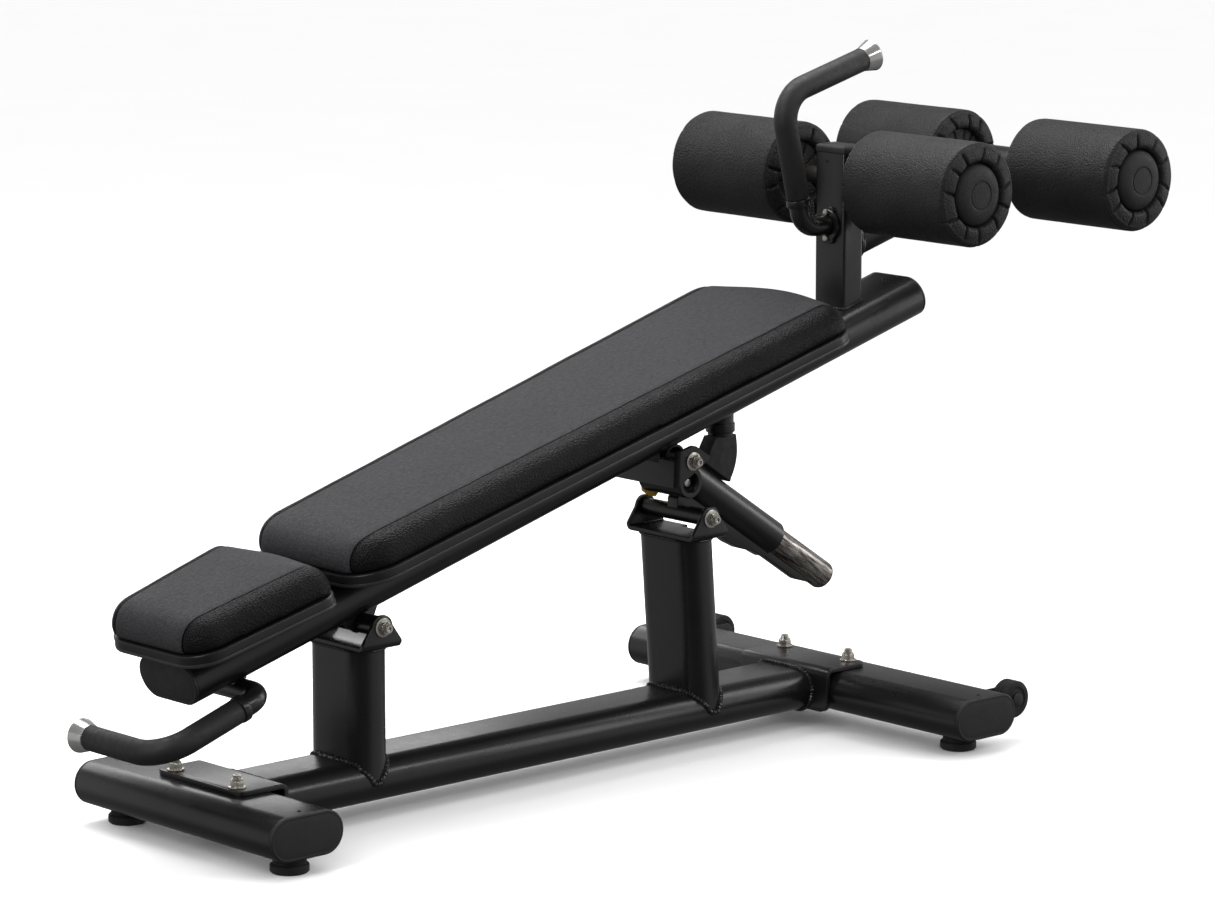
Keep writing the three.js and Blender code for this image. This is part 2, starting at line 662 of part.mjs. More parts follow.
// Turns a piece made along +Y so that it starts at a point and runs in a direction.
function aim(geometry, from, direction) {
  const turn = new THREE.Quaternion().setFromUnitVectors(
    new THREE.Vector3(0, 1, 0), new THREE.Vector3(...direction).normalize());
  return geometry.applyQuaternion(turn).translate(...from);
}

function between(from, to, distance) {
  const a = new THREE.Vector3(...from);
  return a.add(new THREE.Vector3(...to).sub(a).setLength(distance)).toArray();
}

function backwards(from, to) {
  return new THREE.Vector3(...to).sub(new THREE.Vector3(...from)).toArray();
}

// A handle: a bare rod, then a rubber grip on its further corners, then the flared end.
function addHandle(group, name, corners, gripStart, rodPieces, rodBend, gripBend) {
  const [first, elbow, knee, tip] = corners;
  const collar = between(elbow, knee, gripStart);
  const bare = bentRod([first, elbow, between(elbow, knee, gripStart - 2)], ROD_RADIUS, rodBend);
  const ringStart = between(elbow, knee, gripStart - 12);
  const band = aim(rod(GRIP_RADIUS + 1.5, 0, 12 - GAP), ringStart, backwards(elbow, knee));
  place(group, `${name}_tube`, joined(bare, band, ...rodPieces), FRAME_BLACK);
  place(group, `${name}_grip`, bentRod([collar, knee, tip], GRIP_RADIUS, gripBend), GRIP_RUBBER);
  const start = between(tip, knee, -GAP);
  place(group, `${name}_end`, aim(handleEnd(), start, backwards(knee, tip)), CHROME);
}

function addUpperHandle(beam) {
  // It leaves the front face of the roller post, rises square to the beam and turns back along it.
  const face = POST_X - POST_DEPTH / 2 - GAP;
  const corners = [[face - 3, 0, 724], [1096, 0, 726], [1051, 0, 916], [1213, 0, 959.2]].map(beamCorner);
  const flange = rod(23, 0, 6).rotateZ(Math.PI / 2).translate(face, 0, 724);
  addHandle(beam, 'upper_handle', corners, 44, [intoBeam(flange)], 30, 46);
}

function beamCorner([x, y, z]) {
  const { x: along, z: above } = beamPoint({ x, z });
  return [along, y, above];
}

function addLowerHandle(beam) {
  // It is welded under the beam, runs out to one side, down along the beam and back across its end.
  const underside = BEAM_OFFSET - TUBE_HEIGHT / 2;
  const level = underside - ROD_RADIUS - GAP;
  const near = -219;
  const far = -397.5;
  const corners = [[near, 26, level], [near, -80, level], [far, -80, level - 9], [far, 69, level - 9]];
  addHandle(beam, 'lower_handle', corners, 46, [], 26, 50);
}

// The curved rubber buffer that comes down on the strut sleeve at the lowest slope, and its stem.
function addBuffer(beam) {
  const collar = 441;
  const underBeam = beamPoint(STEM_TOP);
  const stem = rod(19.5, 0, 60).rotateX(Math.PI / 2).translate(STEM_TOP.x, 0, collar + GAP);
  const beamSpace = box(400, 400, 400, underBeam.x, 0, BEAM_OFFSET - TUBE_HEIGHT / 2 - GAP + 200);
  place(beam, 'buffer_stem', intoBeam(cut(stem, intoBase(beamSpace))), FRAME_BLACK);
  const outline = new THREE.Shape();
  outline.moveTo(913, collar);
  outline.lineTo(953, collar);
  outline.quadraticCurveTo(963, 404, 941, 373);
  outline.lineTo(893, 404.8);
  outline.quadraticCurveTo(901, 423, 913, collar);
  place(beam, 'rest_buffer', intoBeam(prism(outline, 26, 'y', 8)), RUBBER);
}

function buildBeam() {
  const beam = new THREE.Group();
  beam.position.set(PIVOT.x, 0, PIVOT.z);
  beam.rotation.y = -degrees(TILT);
  const length = BEAM_HIGH - BEAM_LOW - 2 * (CAP_RIM + GAP);
  place(beam, 'beam_tube', frameTube(length, 'x'), FRAME_BLACK, (BEAM_LOW + BEAM_HIGH) / 2, 0, BEAM_OFFSET);
  place(beam, 'beam_cap_high', tubeCap(), MATTE_PLASTIC, BEAM_HIGH - CAP_RIM, 0, BEAM_OFFSET);
  const lowCap = place(beam, 'beam_cap_low', tubeCap(), MATTE_PLASTIC, BEAM_LOW + CAP_RIM, 0, BEAM_OFFSET);
  lowCap.rotation.z = Math.PI;
  place(beam, 'beam_hinge_barrel', hingeBarrel(), FRAME_BLACK);
  place(beam, 'strut_bracket', strutBracket(), FRAME_BLACK);
  const pin = beamPoint(STRUT_TOP);
  place(beam, 'strut_pin_bolt', pivotBolt(66), NICKEL, pin.x, 0, pin.z);
  for (const [name, pad] of [['head', { ...HEAD_PAD, bow: 6 }], ['back', { ...BACK_PAD, bow: 30 }]]) {
    place(beam, `${name}_board`, padBoard(pad), BOARD_BLACK);
    place(beam, `${name}_pad`, padBlock(pad), LEATHER);
  }
  place(beam, 'roller_post', rollerPost(), FRAME_BLACK);
  place(beam, 'roller_post_cap', rollerPostCap(), MATTE_PLASTIC);
  place(beam, 'roller_arm', rollerArm(), FRAME_BLACK);
  addRollers(beam, 'front', beamPoint(FRONT_AXLE));
  addRollers(beam, 'rear', beamPoint(REAR_AXLE));
  addUpperHandle(beam);
  addLowerHandle(beam);
  addBuffer(beam);
  return beam;
}

function addRollers(beam, name, at) {
  place(beam, `${name}_axle`, axle(), DARK_CHROME, at.x, 0, at.z);
  for (const side of SIDES) {
    const middle = side * (ROLLER_INNER + ROLLER_OUTER) / 2;
    place(beam, `${name}_roller_${sideName(side)}`, roller(), LEATHER, at.x, middle, at.z);
  }
}

// ---- strut: its frame has the beam pin at the origin and +X down along the strut ----

function strutPoint({ x, z }) {
  const point = new THREE.Vector2(x - STRUT_TOP.x, z - STRUT_TOP.z);
  point.rotateAround(new THREE.Vector2(), degrees(STRUT_SLOPE));
  return { x: point.x, z: point.y };
}

function alongStrut(radius, from, to, z = STRUT_AXIS, segments = TURN) {
  return rod(radius, from, to, segments).rotateZ(-Math.PI / 2).translate(0, 0, z);
}

function sleeve() {
  // The sleeve tube, the keel under it that guides the rail, the latch housing and the hinge barrel.
  const hinge = strutPoint(STRUT_PIVOT);
  const reach = CLEVIS_HALF_WIDTH - CLEVIS_PLATE - 0.6;
  const keelOutline = roundedPolygon([
    [SLEEVE_START, STRUT_AXIS, 0], [SLEEVE_START + 2, -42, 4], [hinge.x - 8, hinge.z - 4, 3],
    [hinge.x + 8, hinge.z - 4, 3], [hinge.x + 26, -45, 4], [hinge.x + 110, -49, 20],
    [hinge.x + 135, -46, 10], [hinge.x + 162, -38, 6], [SLEEVE_END - 4, -36, 3],
    [SLEEVE_END - 4, STRUT_AXIS, 0],
  ]);
  const keel = prism(keelOutline, 21, 'y', 6);
  const housing = rod(22.5, -40, 47).translate(LATCH.s, 0, LATCH.z);
  const barrel = rod(11, -reach, reach).translate(hinge.x, 0, hinge.z);
  const tube = alongStrut(SLEEVE_RADIUS, SLEEVE_START, SLEEVE_END);
  const rail = box(600, 15, 40, SLEEVE_START + 200, 0, STRUT_AXIS - 31 + 20);
  const nearMouth = rod(15, -60, -26).translate(LATCH.s, 0, LATCH.z);
  return cut(
    joined(tube, keel, housing, barrel),
    alongStrut(SLEEVE_BORE, -50, SLEEVE_END + 50),
    rail,
    rod(PIVOT_BOLT_RADIUS + GAP, -100, 100).translate(hinge.x, 0, hinge.z),
    rod(6.4, 0, 60).translate(LATCH.s, 0, LATCH.z),
    rod(9.5, 24, 44.5).translate(LATCH.s, 0, LATCH.z),
    nearMouth,
  );
}

function strutTube() {
  // The sliding tube with its top eye, the slot for the latch pin and the rail along its underside.
  const tube = alongStrut(STRUT_TUBE_RADIUS, 0, STRUT_TUBE_END);
  const railOutline = roundedPolygon([
    [150, STRUT_AXIS, 0], [150, STRUT_AXIS - 30, 4], [338, STRUT_AXIS - 30, 6],
    [STRUT_TUBE_END - 2, STRUT_AXIS - 16, 3], [STRUT_TUBE_END - 2, STRUT_AXIS, 0],
  ]);
  const rail = prism(railOutline, 14, 'y', 5);
  const eye = rod(EYE_RADIUS, -30, 30);
  const neckCut = alongStrut(STRUT_TUBE_RADIUS - 4, EYE_RADIUS + 6, STRUT_TUBE_END + 50);
  const slot = box(134, 30, 13.4, 24 + 67, 15, LATCH.z);
  return cut(joined(tube, rail, eye), neckCut, slot, rod(EYE_BORE, -60, 60));
}

function latchPin() {
  // Its tip rides in the slot of the sliding tube, with a collar for the spring.
  return turned([
    [0, 8], [4, 8], [6, 10], [6, 27], [9, 27], [9, 30], [6, 30], [6, 47.8], [0, 47.8],
  ], 24);
}

function latchKnob() {
  const outline = roundedPolygon([[-13, 13], [-13, -2], [6, -21], [30, -20.5], [33, -6], [13, 13]], 6);
  return prism(outline, 7, 'y', 5).translate(0, 51.6, 0);
}

function latchSpring() {
  // The coil is held as the tube that it fills, between the pin's collar and the housing.
  return turned([[6.6, 30.6], [9, 30.6], [9, 44], [6.6, 44], [6.6, 30.6]], 24);
}

function buildStrut() {
  const strut = new THREE.Group();
  strut.position.set(STRUT_TOP.x, 0, STRUT_TOP.z);
  strut.rotation.y = degrees(STRUT_SLOPE);
  place(strut, 'strut_sleeve', sleeve(), FRAME_BLACK);
  place(strut, 'strut_tube', strutTube(), DARK_CHROME);
  const plug = alongStrut(STRUT_TUBE_RADIUS - 4 - GAP, STRUT_TUBE_END - 14, STRUT_TUBE_END + 1);
  place(strut, 'strut_tube_plug', plug, MATTE_PLASTIC);
  place(strut, 'latch_pin', latchPin(), NICKEL, LATCH.s, 0, LATCH.z);
  place(strut, 'latch_knob', latchKnob(), YELLOW, LATCH.s, 0, LATCH.z);
  place(strut, 'latch_spring', latchSpring(), SPRING_STEEL, LATCH.s, 0, LATCH.z);
  return strut;
}

// ---- the whole bench ----

const bench = new THREE.Group();
bench.add(buildBase(), buildBeam(), buildStrut());
const extent = new THREE.Box3().setFromObject(bench, true);
bench.position.x = -(extent.min.x + extent.max.x) / 2;
bench.updateMatrixWorld(true);

export default bench;
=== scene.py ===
import json
import math
import random

import bmesh
import bpy
from mathutils import Matrix, Quaternion, Vector, noise
from mathutils.bvhtree import BVHTree


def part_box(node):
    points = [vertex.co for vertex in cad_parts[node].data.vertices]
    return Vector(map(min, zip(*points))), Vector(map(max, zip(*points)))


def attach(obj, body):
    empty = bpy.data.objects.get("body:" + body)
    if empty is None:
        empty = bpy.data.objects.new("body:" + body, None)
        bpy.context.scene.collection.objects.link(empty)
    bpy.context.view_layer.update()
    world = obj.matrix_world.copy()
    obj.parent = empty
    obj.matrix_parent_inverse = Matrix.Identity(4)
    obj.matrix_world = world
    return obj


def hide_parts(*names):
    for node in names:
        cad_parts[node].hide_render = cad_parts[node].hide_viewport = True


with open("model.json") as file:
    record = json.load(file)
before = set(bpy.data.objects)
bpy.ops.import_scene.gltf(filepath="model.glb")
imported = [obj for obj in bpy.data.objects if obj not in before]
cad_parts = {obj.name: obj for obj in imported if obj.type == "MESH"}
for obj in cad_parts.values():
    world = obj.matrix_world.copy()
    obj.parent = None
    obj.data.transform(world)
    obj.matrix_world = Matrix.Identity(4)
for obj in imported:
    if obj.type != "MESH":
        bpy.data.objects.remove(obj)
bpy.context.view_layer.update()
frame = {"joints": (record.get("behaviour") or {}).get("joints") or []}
joints = {joint["name"]: joint for joint in frame["joints"]}


def middle(node):
    low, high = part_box(node)
    return (low + high) / 2


# ---- frames: lengths below are in millimetres, along the base, the beam or the strut ----

MM = 0.001
TILT = math.radians(15.6)
STRUT_SLOPE = math.radians(33.5)
FRONT_X = middle("front_cross_tube").x
HINGE = Vector(joints["incline"]["pos_m"])
PIN = middle("strut_pin_bolt")
PIN.y = 0
BASE = Matrix.Translation((FRONT_X, 0, 0))
BEAM = Matrix.Translation(HINGE) @ Matrix.Rotation(-TILT, 4, "Y")
STRUT = Matrix.Translation(PIN) @ Matrix.Rotation(STRUT_SLOPE, 4, "Y")


def in_frame(where, point):
    """A base point in millimetres, seen from another frame."""
    return (where.inverted() @ (BASE @ (Vector(point) * MM))) / MM


# ---- camera ----

lens = bpy.data.cameras.new("camera")
lens.lens = 146.4
lens.sensor_width = 36
lens.clip_end = 50
camera = bpy.data.objects.new("camera", lens)
bpy.context.scene.collection.objects.link(camera)
yaw, pitch = math.radians(47.667), math.radians(-10.216)
aim = Vector((math.cos(pitch) * math.cos(yaw), math.cos(pitch) * math.sin(yaw), math.sin(pitch)))
camera.rotation_euler = aim.to_track_quat("-Z", "Y").to_euler()
camera.location = Vector((FRONT_X - 3.8681, -5.0303, 1.6685))
bpy.context.scene.camera = camera


# ---- materials ----

def map_range(tree, value, *numbers):
    """Carries a value over from one range, its low and high, to another."""
    node = tree.nodes.new("ShaderNodeMapRange")
    for key, number in zip(("From Min", "From Max", "To Min", "To Max"), numbers):
        node.inputs[key].default_value = number
    tree.links.new(value, node.inputs["Value"])
    return node.outputs["Result"]


class Nodes:
    """A small helper for building one procedural material."""

    def __init__(self, name, color, roughness, metallic=0.0):
        self.material = bpy.data.materials.new(name)
        self.material.use_nodes = True
        self.tree = self.material.node_tree
        self.shader = self.tree.nodes["Principled BSDF"]
        self.shader.inputs["Base Color"].default_value = (*color, 1)
        self.shader.inputs["Roughness"].default_value = roughness
        self.shader.inputs["Metallic"].default_value = metallic
        self.place = self.new("ShaderNodeTexCoord").outputs["Object"]

    def new(self, kind, **settings):
        node = self.tree.nodes.new(kind)
        for key, value in settings.items():
            setattr(node, key, value)
        return node

    def link(self, output, target):
        self.tree.links.new(output, target)

    def noise(self, scale, detail=3.0, roughness=0.5, stretch=(1, 1, 1)):
        node = self.new("ShaderNodeTexNoise")
        node.inputs["Scale"].default_value = scale
        node.inputs["Detail"].default_value = detail
        node.inputs["Roughness"].default_value = roughness
        self.link(self.scaled(stretch), node.inputs["Vector"])
        return node.outputs["Fac"]

    def cells(self, scale, feature="F1", smooth=0.6):
        node = self.new("ShaderNodeTexVoronoi", feature=feature)
        node.inputs["Scale"].default_value = scale
        if feature == "SMOOTH_F1":
            node.inputs["Smoothness"].default_value = smooth
        self.link(self.place, node.inputs["Vector"])
        return node.outputs["Distance"]

    def scaled(self, stretch):
        if tuple(stretch) == (1, 1, 1):
            return self.place
        node = self.new("ShaderNodeMapping")
        node.inputs["Scale"].default_value = stretch
        self.link(self.place, node.inputs["Vector"])
        return node.outputs["Vector"]

    def remap(self, value, *numbers):
        return map_range(self.tree, value, *numbers)

    def patches(self, *noise):
        """Soft patches, from 0 to 1."""
        return self.remap(self.noise(*noise), 0.35, 0.65, 0, 1)

    def uneven(self, low, high, *noise):
        """A value that wanders between low and high."""
        return self.remap(self.noise(*noise), 0.3, 0.7, low, high)

    def mix(self, factor, first, second):
        node = self.new("ShaderNodeMix", data_type="RGBA")
        self.link(factor, node.inputs["Factor"])
        for key, value in (("A", first), ("B", second)):
            socket = [s for s in node.inputs if s.name == key and s.type == "RGBA"][0]
            if isinstance(value, tuple):
                socket.default_value = (*value, 1)
            else:
                self.link(value, socket)
        return [s for s in node.outputs if s.type == "RGBA"][0]

    def blend(self, factor, first, second):
        node = self.new("ShaderNodeMix", data_type="FLOAT")
        self.link(factor, node.inputs["Factor"])
        self.link(first, node.inputs["A"])
        self.link(second, node.inputs["B"])
        return node.outputs["Result"]

    def math(self, operation, first, second):
        node = self.new("ShaderNodeMath", operation=operation)
        for socket, value in zip(node.inputs, (first, second)):
            if isinstance(value, (int, float)):
                socket.default_value = value
            else:
                self.link(value, socket)
        return node.outputs["Value"]

    def bump(self, height, strength, distance, normal=None):
        node = self.new("ShaderNodeBump")
        node.inputs["Strength"].default_value = strength
        node.inputs["Distance"].default_value = distance
        self.link(height, node.inputs["Height"])
        if normal is not None:
            self.link(normal, node.inputs["Normal"])
        return node.outputs["Normal"]

    # Base colour mixed from two colours by a mask: random tone in most materials, and painted shade along the
    # pad seam.
    def tone_and_painted_shade(self, value, dark, light):
        self.link(self.mix(value, dark, light), self.shader.inputs["Base Color"])

    def finish(self, normal=None, roughness=None):
        if normal is not None:
            self.link(normal, self.shader.inputs["Normal"])
        if roughness is not None:
            self.link(roughness, self.shader.inputs["Roughness"])
        return self.material


def powder_coat():
    m = Nodes("powder_coat", (0.005, 0.005, 0.0055), 0.3)
    m.shader.inputs["Specular IOR Level"].default_value = 0.55
    m.shader.inputs["Coat Weight"].default_value = 0.15
    m.shader.inputs["Coat Roughness"].default_value = 0.25
    m.tone_and_painted_shade(m.patches(9, 2), (0.004, 0.004, 0.0045), (0.0065, 0.0065, 0.0075))
    return m.finish(roughness=m.uneven(0.27, 0.31, 60, 2))


def moulded(name, dark, light, low, high, grain=900, strength=0.2):
    m = Nodes(name, dark, high)
    m.tone_and_painted_shade(m.patches(14, 3), dark, light)
    rough = m.uneven(low, high, 90, 3)
    return m.finish(m.bump(m.noise(grain, 2), strength, 0.0004), rough)


def plated(name, dark, light, low, high, stretch=(1, 1, 1), scratch=0.04, metal=1.0):
    m = Nodes(name, light, low, metal)
    m.tone_and_painted_shade(m.patches(35, 4, 0.6, stretch), dark, light)
    marks = m.noise(240, 5, 0.7, stretch)
    rough = m.remap(marks, 0.3, 0.75, low, high)
    return m.finish(m.bump(marks, scratch, 0.0002), rough)


def grip_foam():
    m = Nodes("grip_rubber", (0.007, 0.007, 0.007), 0.6)
    m.tone_and_painted_shade(m.patches(22, 3), (0.006, 0.006, 0.006), (0.009, 0.009, 0.0095))
    rough = m.uneven(0.5, 0.68, 140, 3)
    return m.finish(m.bump(m.noise(1300, 2), 0.3, 0.0003), rough)


def leatherette(name, dark, light, low, high, cell=620.0, strength=0.35):
    """Coated fabric with a fine pebble: raised cells with creases between them."""
    m = Nodes(name, dark, high)
    m.shader.inputs["Specular IOR Level"].default_value = 0.26
    pebble = m.remap(m.cells(cell, "SMOOTH_F1"), 0.0, 0.75, 1.0, 0.0)
    m.tone_and_painted_shade(m.patches(18, 3), dark, light)
    rough = m.uneven(low, high, 150, 3)
    soft = m.bump(m.noise(45, 2), 0.12, 0.002)
    return m.finish(m.bump(pebble, strength, 0.001, soft), rough)


def pad_cover():
    """Two leatherettes on one skin: a fine matt panel and a glossier pebbled bolster beyond the seam. Along
    the seam line there is painted shade: the colour goes near black and the specular drops to nothing.
    """
    m = Nodes("pad_cover", (0.03, 0.03, 0.032), 0.6)
    seam = m.new("ShaderNodeAttribute", attribute_name="panel").outputs["Fac"]
    inside = m.remap(seam, -0.0003, 0.0003, 0, 1)
    # painted shade mask: 0 within about 1 mm of the seam line, 1 from about 2 mm away
    painted_seam_shade = m.remap(m.math("ABSOLUTE", seam, 0), 0.0009, 0.0021, 0, 1)
    # painted shade: the specular fades to nothing along the seam line
    shine = m.math("MULTIPLY", painted_seam_shade, m.remap(seam, -0.0003, 0.0003, 0.15, 0.28))
    m.link(shine, m.shader.inputs["Specular IOR Level"])
    cloud = m.patches(16, 3)
    speckle = m.patches(330, 2, 0.7)
    plain_panel = m.mix(cloud, (0.012, 0.012, 0.0133), (0.016, 0.016, 0.0177))
    panel = m.mix(speckle, plain_panel, (0.030, 0.030, 0.033))
    bolster = m.mix(cloud, (0.0025, 0.0025, 0.0028), (0.0045, 0.0045, 0.005))
    # painted shade: near-black colour along the seam line, over the panel and bolster colours
    m.tone_and_painted_shade(painted_seam_shade, (0.0015, 0.0015, 0.0015), m.mix(inside, bolster, panel))
    fine = m.remap(m.cells(620, "SMOOTH_F1"), 0.0, 0.75, 0.4, 0.0)
    coarse = m.remap(m.cells(420, "SMOOTH_F1"), 0.0, 0.7, 1.0, 0.0)
    height = m.blend(inside, coarse, fine)
    matt = m.uneven(0.62, 0.76, 150, 3)
    gloss = m.uneven(0.38, 0.48, 150, 3)
    rough = m.blend(inside, gloss, matt)
    soft = m.bump(m.noise(40, 2), 0.1, 0.002)
    return m.finish(m.bump(height, 0.6, 0.0012, soft), rough)


POWDER = powder_coat()
CAP = moulded("cap_plastic", (0.007, 0.007, 0.0075), (0.010, 0.010, 0.0105), 0.48, 0.6)
RUBBER = moulded("foot_rubber", (0.005, 0.005, 0.005), (0.009, 0.009, 0.009), 0.6, 0.8, 700, 0.3)
BOARD = moulded("board_shell", (0.006, 0.006, 0.0065), (0.009, 0.009, 0.0095), 0.3, 0.44, 600, 0.12)
EDGE = moulded("board_trim", (0.018, 0.018, 0.019), (0.024, 0.024, 0.026), 0.28, 0.38, 600, 0.1)
NICKEL = plated("nickel", (0.50, 0.47, 0.42), (0.60, 0.57, 0.52), 0.2, 0.28, scratch=0.01, metal=0.85)
CHROME = plated("chrome", (0.56, 0.55, 0.545), (0.66, 0.65, 0.645), 0.14, 0.2, scratch=0.01, metal=0.8)
DARK_CHROME = plated("dark_chrome", (0.05, 0.043, 0.036), (0.46, 0.43, 0.40), 0.14, 0.32,
                     (1, 8, 8), 0.06, 0.85)
GRIP = grip_foam()
SKIN = leatherette("roller_cover", (0.008, 0.008, 0.0088), (0.012, 0.012, 0.013), 0.42, 0.54, 430, 0.7)
DOME = leatherette("roller_dome", (0.009, 0.009, 0.0095), (0.012, 0.012, 0.013), 0.46, 0.58, 700, 0.4)
COVER = pad_cover()
THREAD = moulded("thread", (0.003, 0.003, 0.003), (0.006, 0.006, 0.006), 0.55, 0.7, 2500, 0.3)
YELLOW = moulded("yellow_plastic", (0.62, 0.36, 0.04), (0.74, 0.45, 0.06), 0.32, 0.44, 500, 0.08)
AXLE = plated("axle_steel", (0.05, 0.048, 0.045), (0.10, 0.095, 0.09), 0.25, 0.35, metal=0.85)
SPRING = plated("spring_steel", (0.30, 0.30, 0.30), (0.42, 0.42, 0.42), 0.25, 0.4)


# ---- outlines, in millimetres ----

def arc(x, y, radius, start, end, steps):
    angles = [math.radians(start + (end - start) * i / steps) for i in range(steps + 1)]
    return [(x + radius * math.cos(a), y + radius * math.sin(a)) for a in angles]


def oval(width, height, steps=20):
    r = height / 2
    half = width / 2 - r
    return arc(half, 0, r, -90, 90, steps) + arc(-half, 0, r, 90, 270, steps)


def filleted(points, steps=6, closed=True):
    """Rounds each corner (x, y, radius) with a true arc."""
    result = []
    count = len(points)
    for i, (x, y, radius) in enumerate(points):
        at = Vector((x, y))
        if radius == 0 or (not closed and i in (0, count - 1)):
            result.append((x, y))
            continue
        back = (Vector(points[i - 1][:2]) - at).normalized()
        ahead = (Vector(points[(i + 1) % count][:2]) - at).normalized()
        opening = back.angle(ahead)
        centre = at + (back + ahead).normalized() * (radius / math.sin(opening / 2))
        reach = radius / math.tan(opening / 2)
        start, end = at + back * reach - centre, at + ahead * reach - centre
        turn = start.angle_signed(end)
        for k in range(steps + 1):
            spoke = start.copy()
            spoke.rotate(Matrix.Rotation(-turn * k / steps, 2))
            result.append(tuple(centre + spoke))
    return result


def box_outline(width, height, radius, steps=6):
    w, h = width / 2, height / 2
    return filleted([(-w, -h, radius), (w, -h, radius), (w, h, radius), (-w, h, radius)], steps)


def inset(outline, distance):
    """Moves each point of a counter-clockwise outline inwards."""
    count = len(outline)
    result = []
    for i, (x, y) in enumerate(outline):
        before = Vector(outline[i - 1])
        after = Vector(outline[(i + 1) % count])
        along = (after - before).normalized()
        result.append((x - along.y * distance, y + along.x * distance))
    return result


# ---- solids: each is (points, faces), in millimetres ----

def loft(rings, caps=True):
    n = len(rings[0])
    points = [Vector(p) for ring in rings for p in ring]
    faces = [
        (i * n + j, i * n + (j + 1) % n, (i + 1) * n + (j + 1) % n, (i + 1) * n + j)
        for i in range(len(rings) - 1) for j in range(n)
    ]
    if caps:
        faces += [tuple(reversed(range(n))), tuple(range((len(rings) - 1) * n, len(rings) * n))]
    return points, faces


def moved(part, matrix):
    points, faces = part
    return [matrix @ Vector(p) for p in points], faces


def shifted(part, x=0.0, y=0.0, z=0.0):
    return moved(part, Matrix.Translation((x, y, z)))


def merged(*parts):
    points, faces = [], []
    for more_points, more_faces in parts:
        start = len(points)
        points += more_points
        faces += [tuple(start + i for i in face) for face in more_faces]
    return points, faces


ALONG = {
    "z": Matrix.Identity(4),
    "x": Matrix(((0, 0, 1, 0), (1, 0, 0, 0), (0, 1, 0, 0), (0, 0, 0, 1))),
    "y": Matrix(((1, 0, 0, 0), (0, 0, -1, 0), (0, 1, 0, 0), (0, 0, 0, 1))),
}


def prism(outline, start, end, axis, bevel=1.0, steps=3):
    """An outline drawn along an axis, with rounded end edges. Along y, start and end are -y."""
    rings = []
    for k in range(steps + 1):
        a = math.pi / 2 * k / steps
        ring = inset(outline, bevel * (1 - math.sin(a)))
        rings.append([(x, y, start + bevel * (1 - math.cos(a))) for x, y in ring])
    for k in range(steps + 1):
        a = math.pi / 2 * (1 - k / steps)
        ring = inset(outline, bevel * (1 - math.sin(a)))
        rings.append([(x, y, end - bevel * (1 - math.cos(a))) for x, y in ring])
    return moved(loft(rings), ALONG[axis])


def full_circle(sides):
    return [2 * math.pi * j / sides for j in range(sides)]


def flat_ring(radius, y, sides):
    """A circle round the y axis."""
    return [(radius * math.sin(a), y, radius * math.cos(a)) for a in full_circle(sides)]


def hoop(at, side, up, radius, sides):
    """A ring of points round a spot, in the plane of two directions."""
    return [at + side * (radius * math.cos(a)) + up * (radius * math.sin(a)) for a in full_circle(sides)]


def turned(profile, steps=48):
    """A solid of revolution about y, from (radius, y) points."""
    return loft([flat_ring(radius, y, steps) for radius, y in profile], caps=False)


def rod(radius, start, end, bevel=0.8, steps=40):
    b = bevel
    return turned([
        (0, start), (radius - b, start), (radius - 0.3 * b, start + 0.3 * b), (radius, start + b),
        (radius, end - b), (radius - 0.3 * b, end - 0.3 * b), (radius - b, end), (0, end),
    ], steps)


Y_TO_X = Matrix.Rotation(-math.pi / 2, 4, "Z")
Y_TO_BACK = Matrix.Rotation(math.pi / 2, 4, "Z")
Y_TO_Z = Matrix.Rotation(math.pi / 2, 4, "X")
HALF_TURN = Matrix.Rotation(math.pi, 4, "Z")


def pipe(outer, inner, start, end, bevel=0.8, steps=48):
    b = bevel
    return turned([
        (inner, start + b), (inner + b, start), (outer - b, start), (outer, start + b), (outer, end - b),
        (outer - b, end), (inner + b, end), (inner, end - b), (inner, start + b),
    ], steps)


def stations(corners, bend, spacing=4.0):
    """Points and directions along straight runs and round bends."""
    points = [Vector(c) for c in corners]
    result = [(points[0], (points[1] - points[0]).normalized())]
    for i in range(1, len(points) - 1):
        back = (points[i - 1] - points[i]).normalized()
        ahead = (points[i + 1] - points[i]).normalized()
        opening = back.angle(ahead)
        centre = points[i] + (back + ahead).normalized() * (bend / math.sin(opening / 2))
        spoke = points[i] + back * (bend / math.tan(opening / 2)) - centre
        turn = math.pi - opening
        axis = ahead.cross(back).normalized()
        count = max(6, round(turn * bend / spacing))
        for k in range(count + 1):
            spin = Quaternion(axis, turn * k / count)
            result.append((centre + spin @ spoke, spin @ (-back)))
    result.append((points[-1], (points[-1] - points[-2]).normalized()))
    return result


def bar(corners, radius, bend, sides=28, round_end=1.0):
    """A round bar through corners, with slightly rounded ends."""
    path = stations(corners, bend)
    first = path[0][1]
    side = first.orthogonal().normalized()
    rings = []
    for i, (point, facing) in enumerate(path):
        if i:
            side = path[i - 1][1].rotation_difference(facing) @ side
        up = facing.cross(side)
        e = round_end
        sizes = [(0.0, radius)]
        if i == 0:
            sizes = [(0.0, radius - e), (e * 0.3, radius - e * 0.3), (e, radius)]
        if i == len(path) - 1:
            sizes = [(-e, radius), (-e * 0.3, radius - e * 0.3), (0.0, radius - e)]
        for along, r in sizes:
            rings.append(hoop(point + facing * along, side, up, r, sides))
    return loft(rings)


def heading(points, i, closed=False):
    """The direction of a path at one of its points."""
    last = len(points) - 1
    if closed:
        return (points[(i + 1) % len(points)] - points[i - 1]).normalized()
    return (points[min(i + 1, last)] - points[max(i - 1, 0)]).normalized()


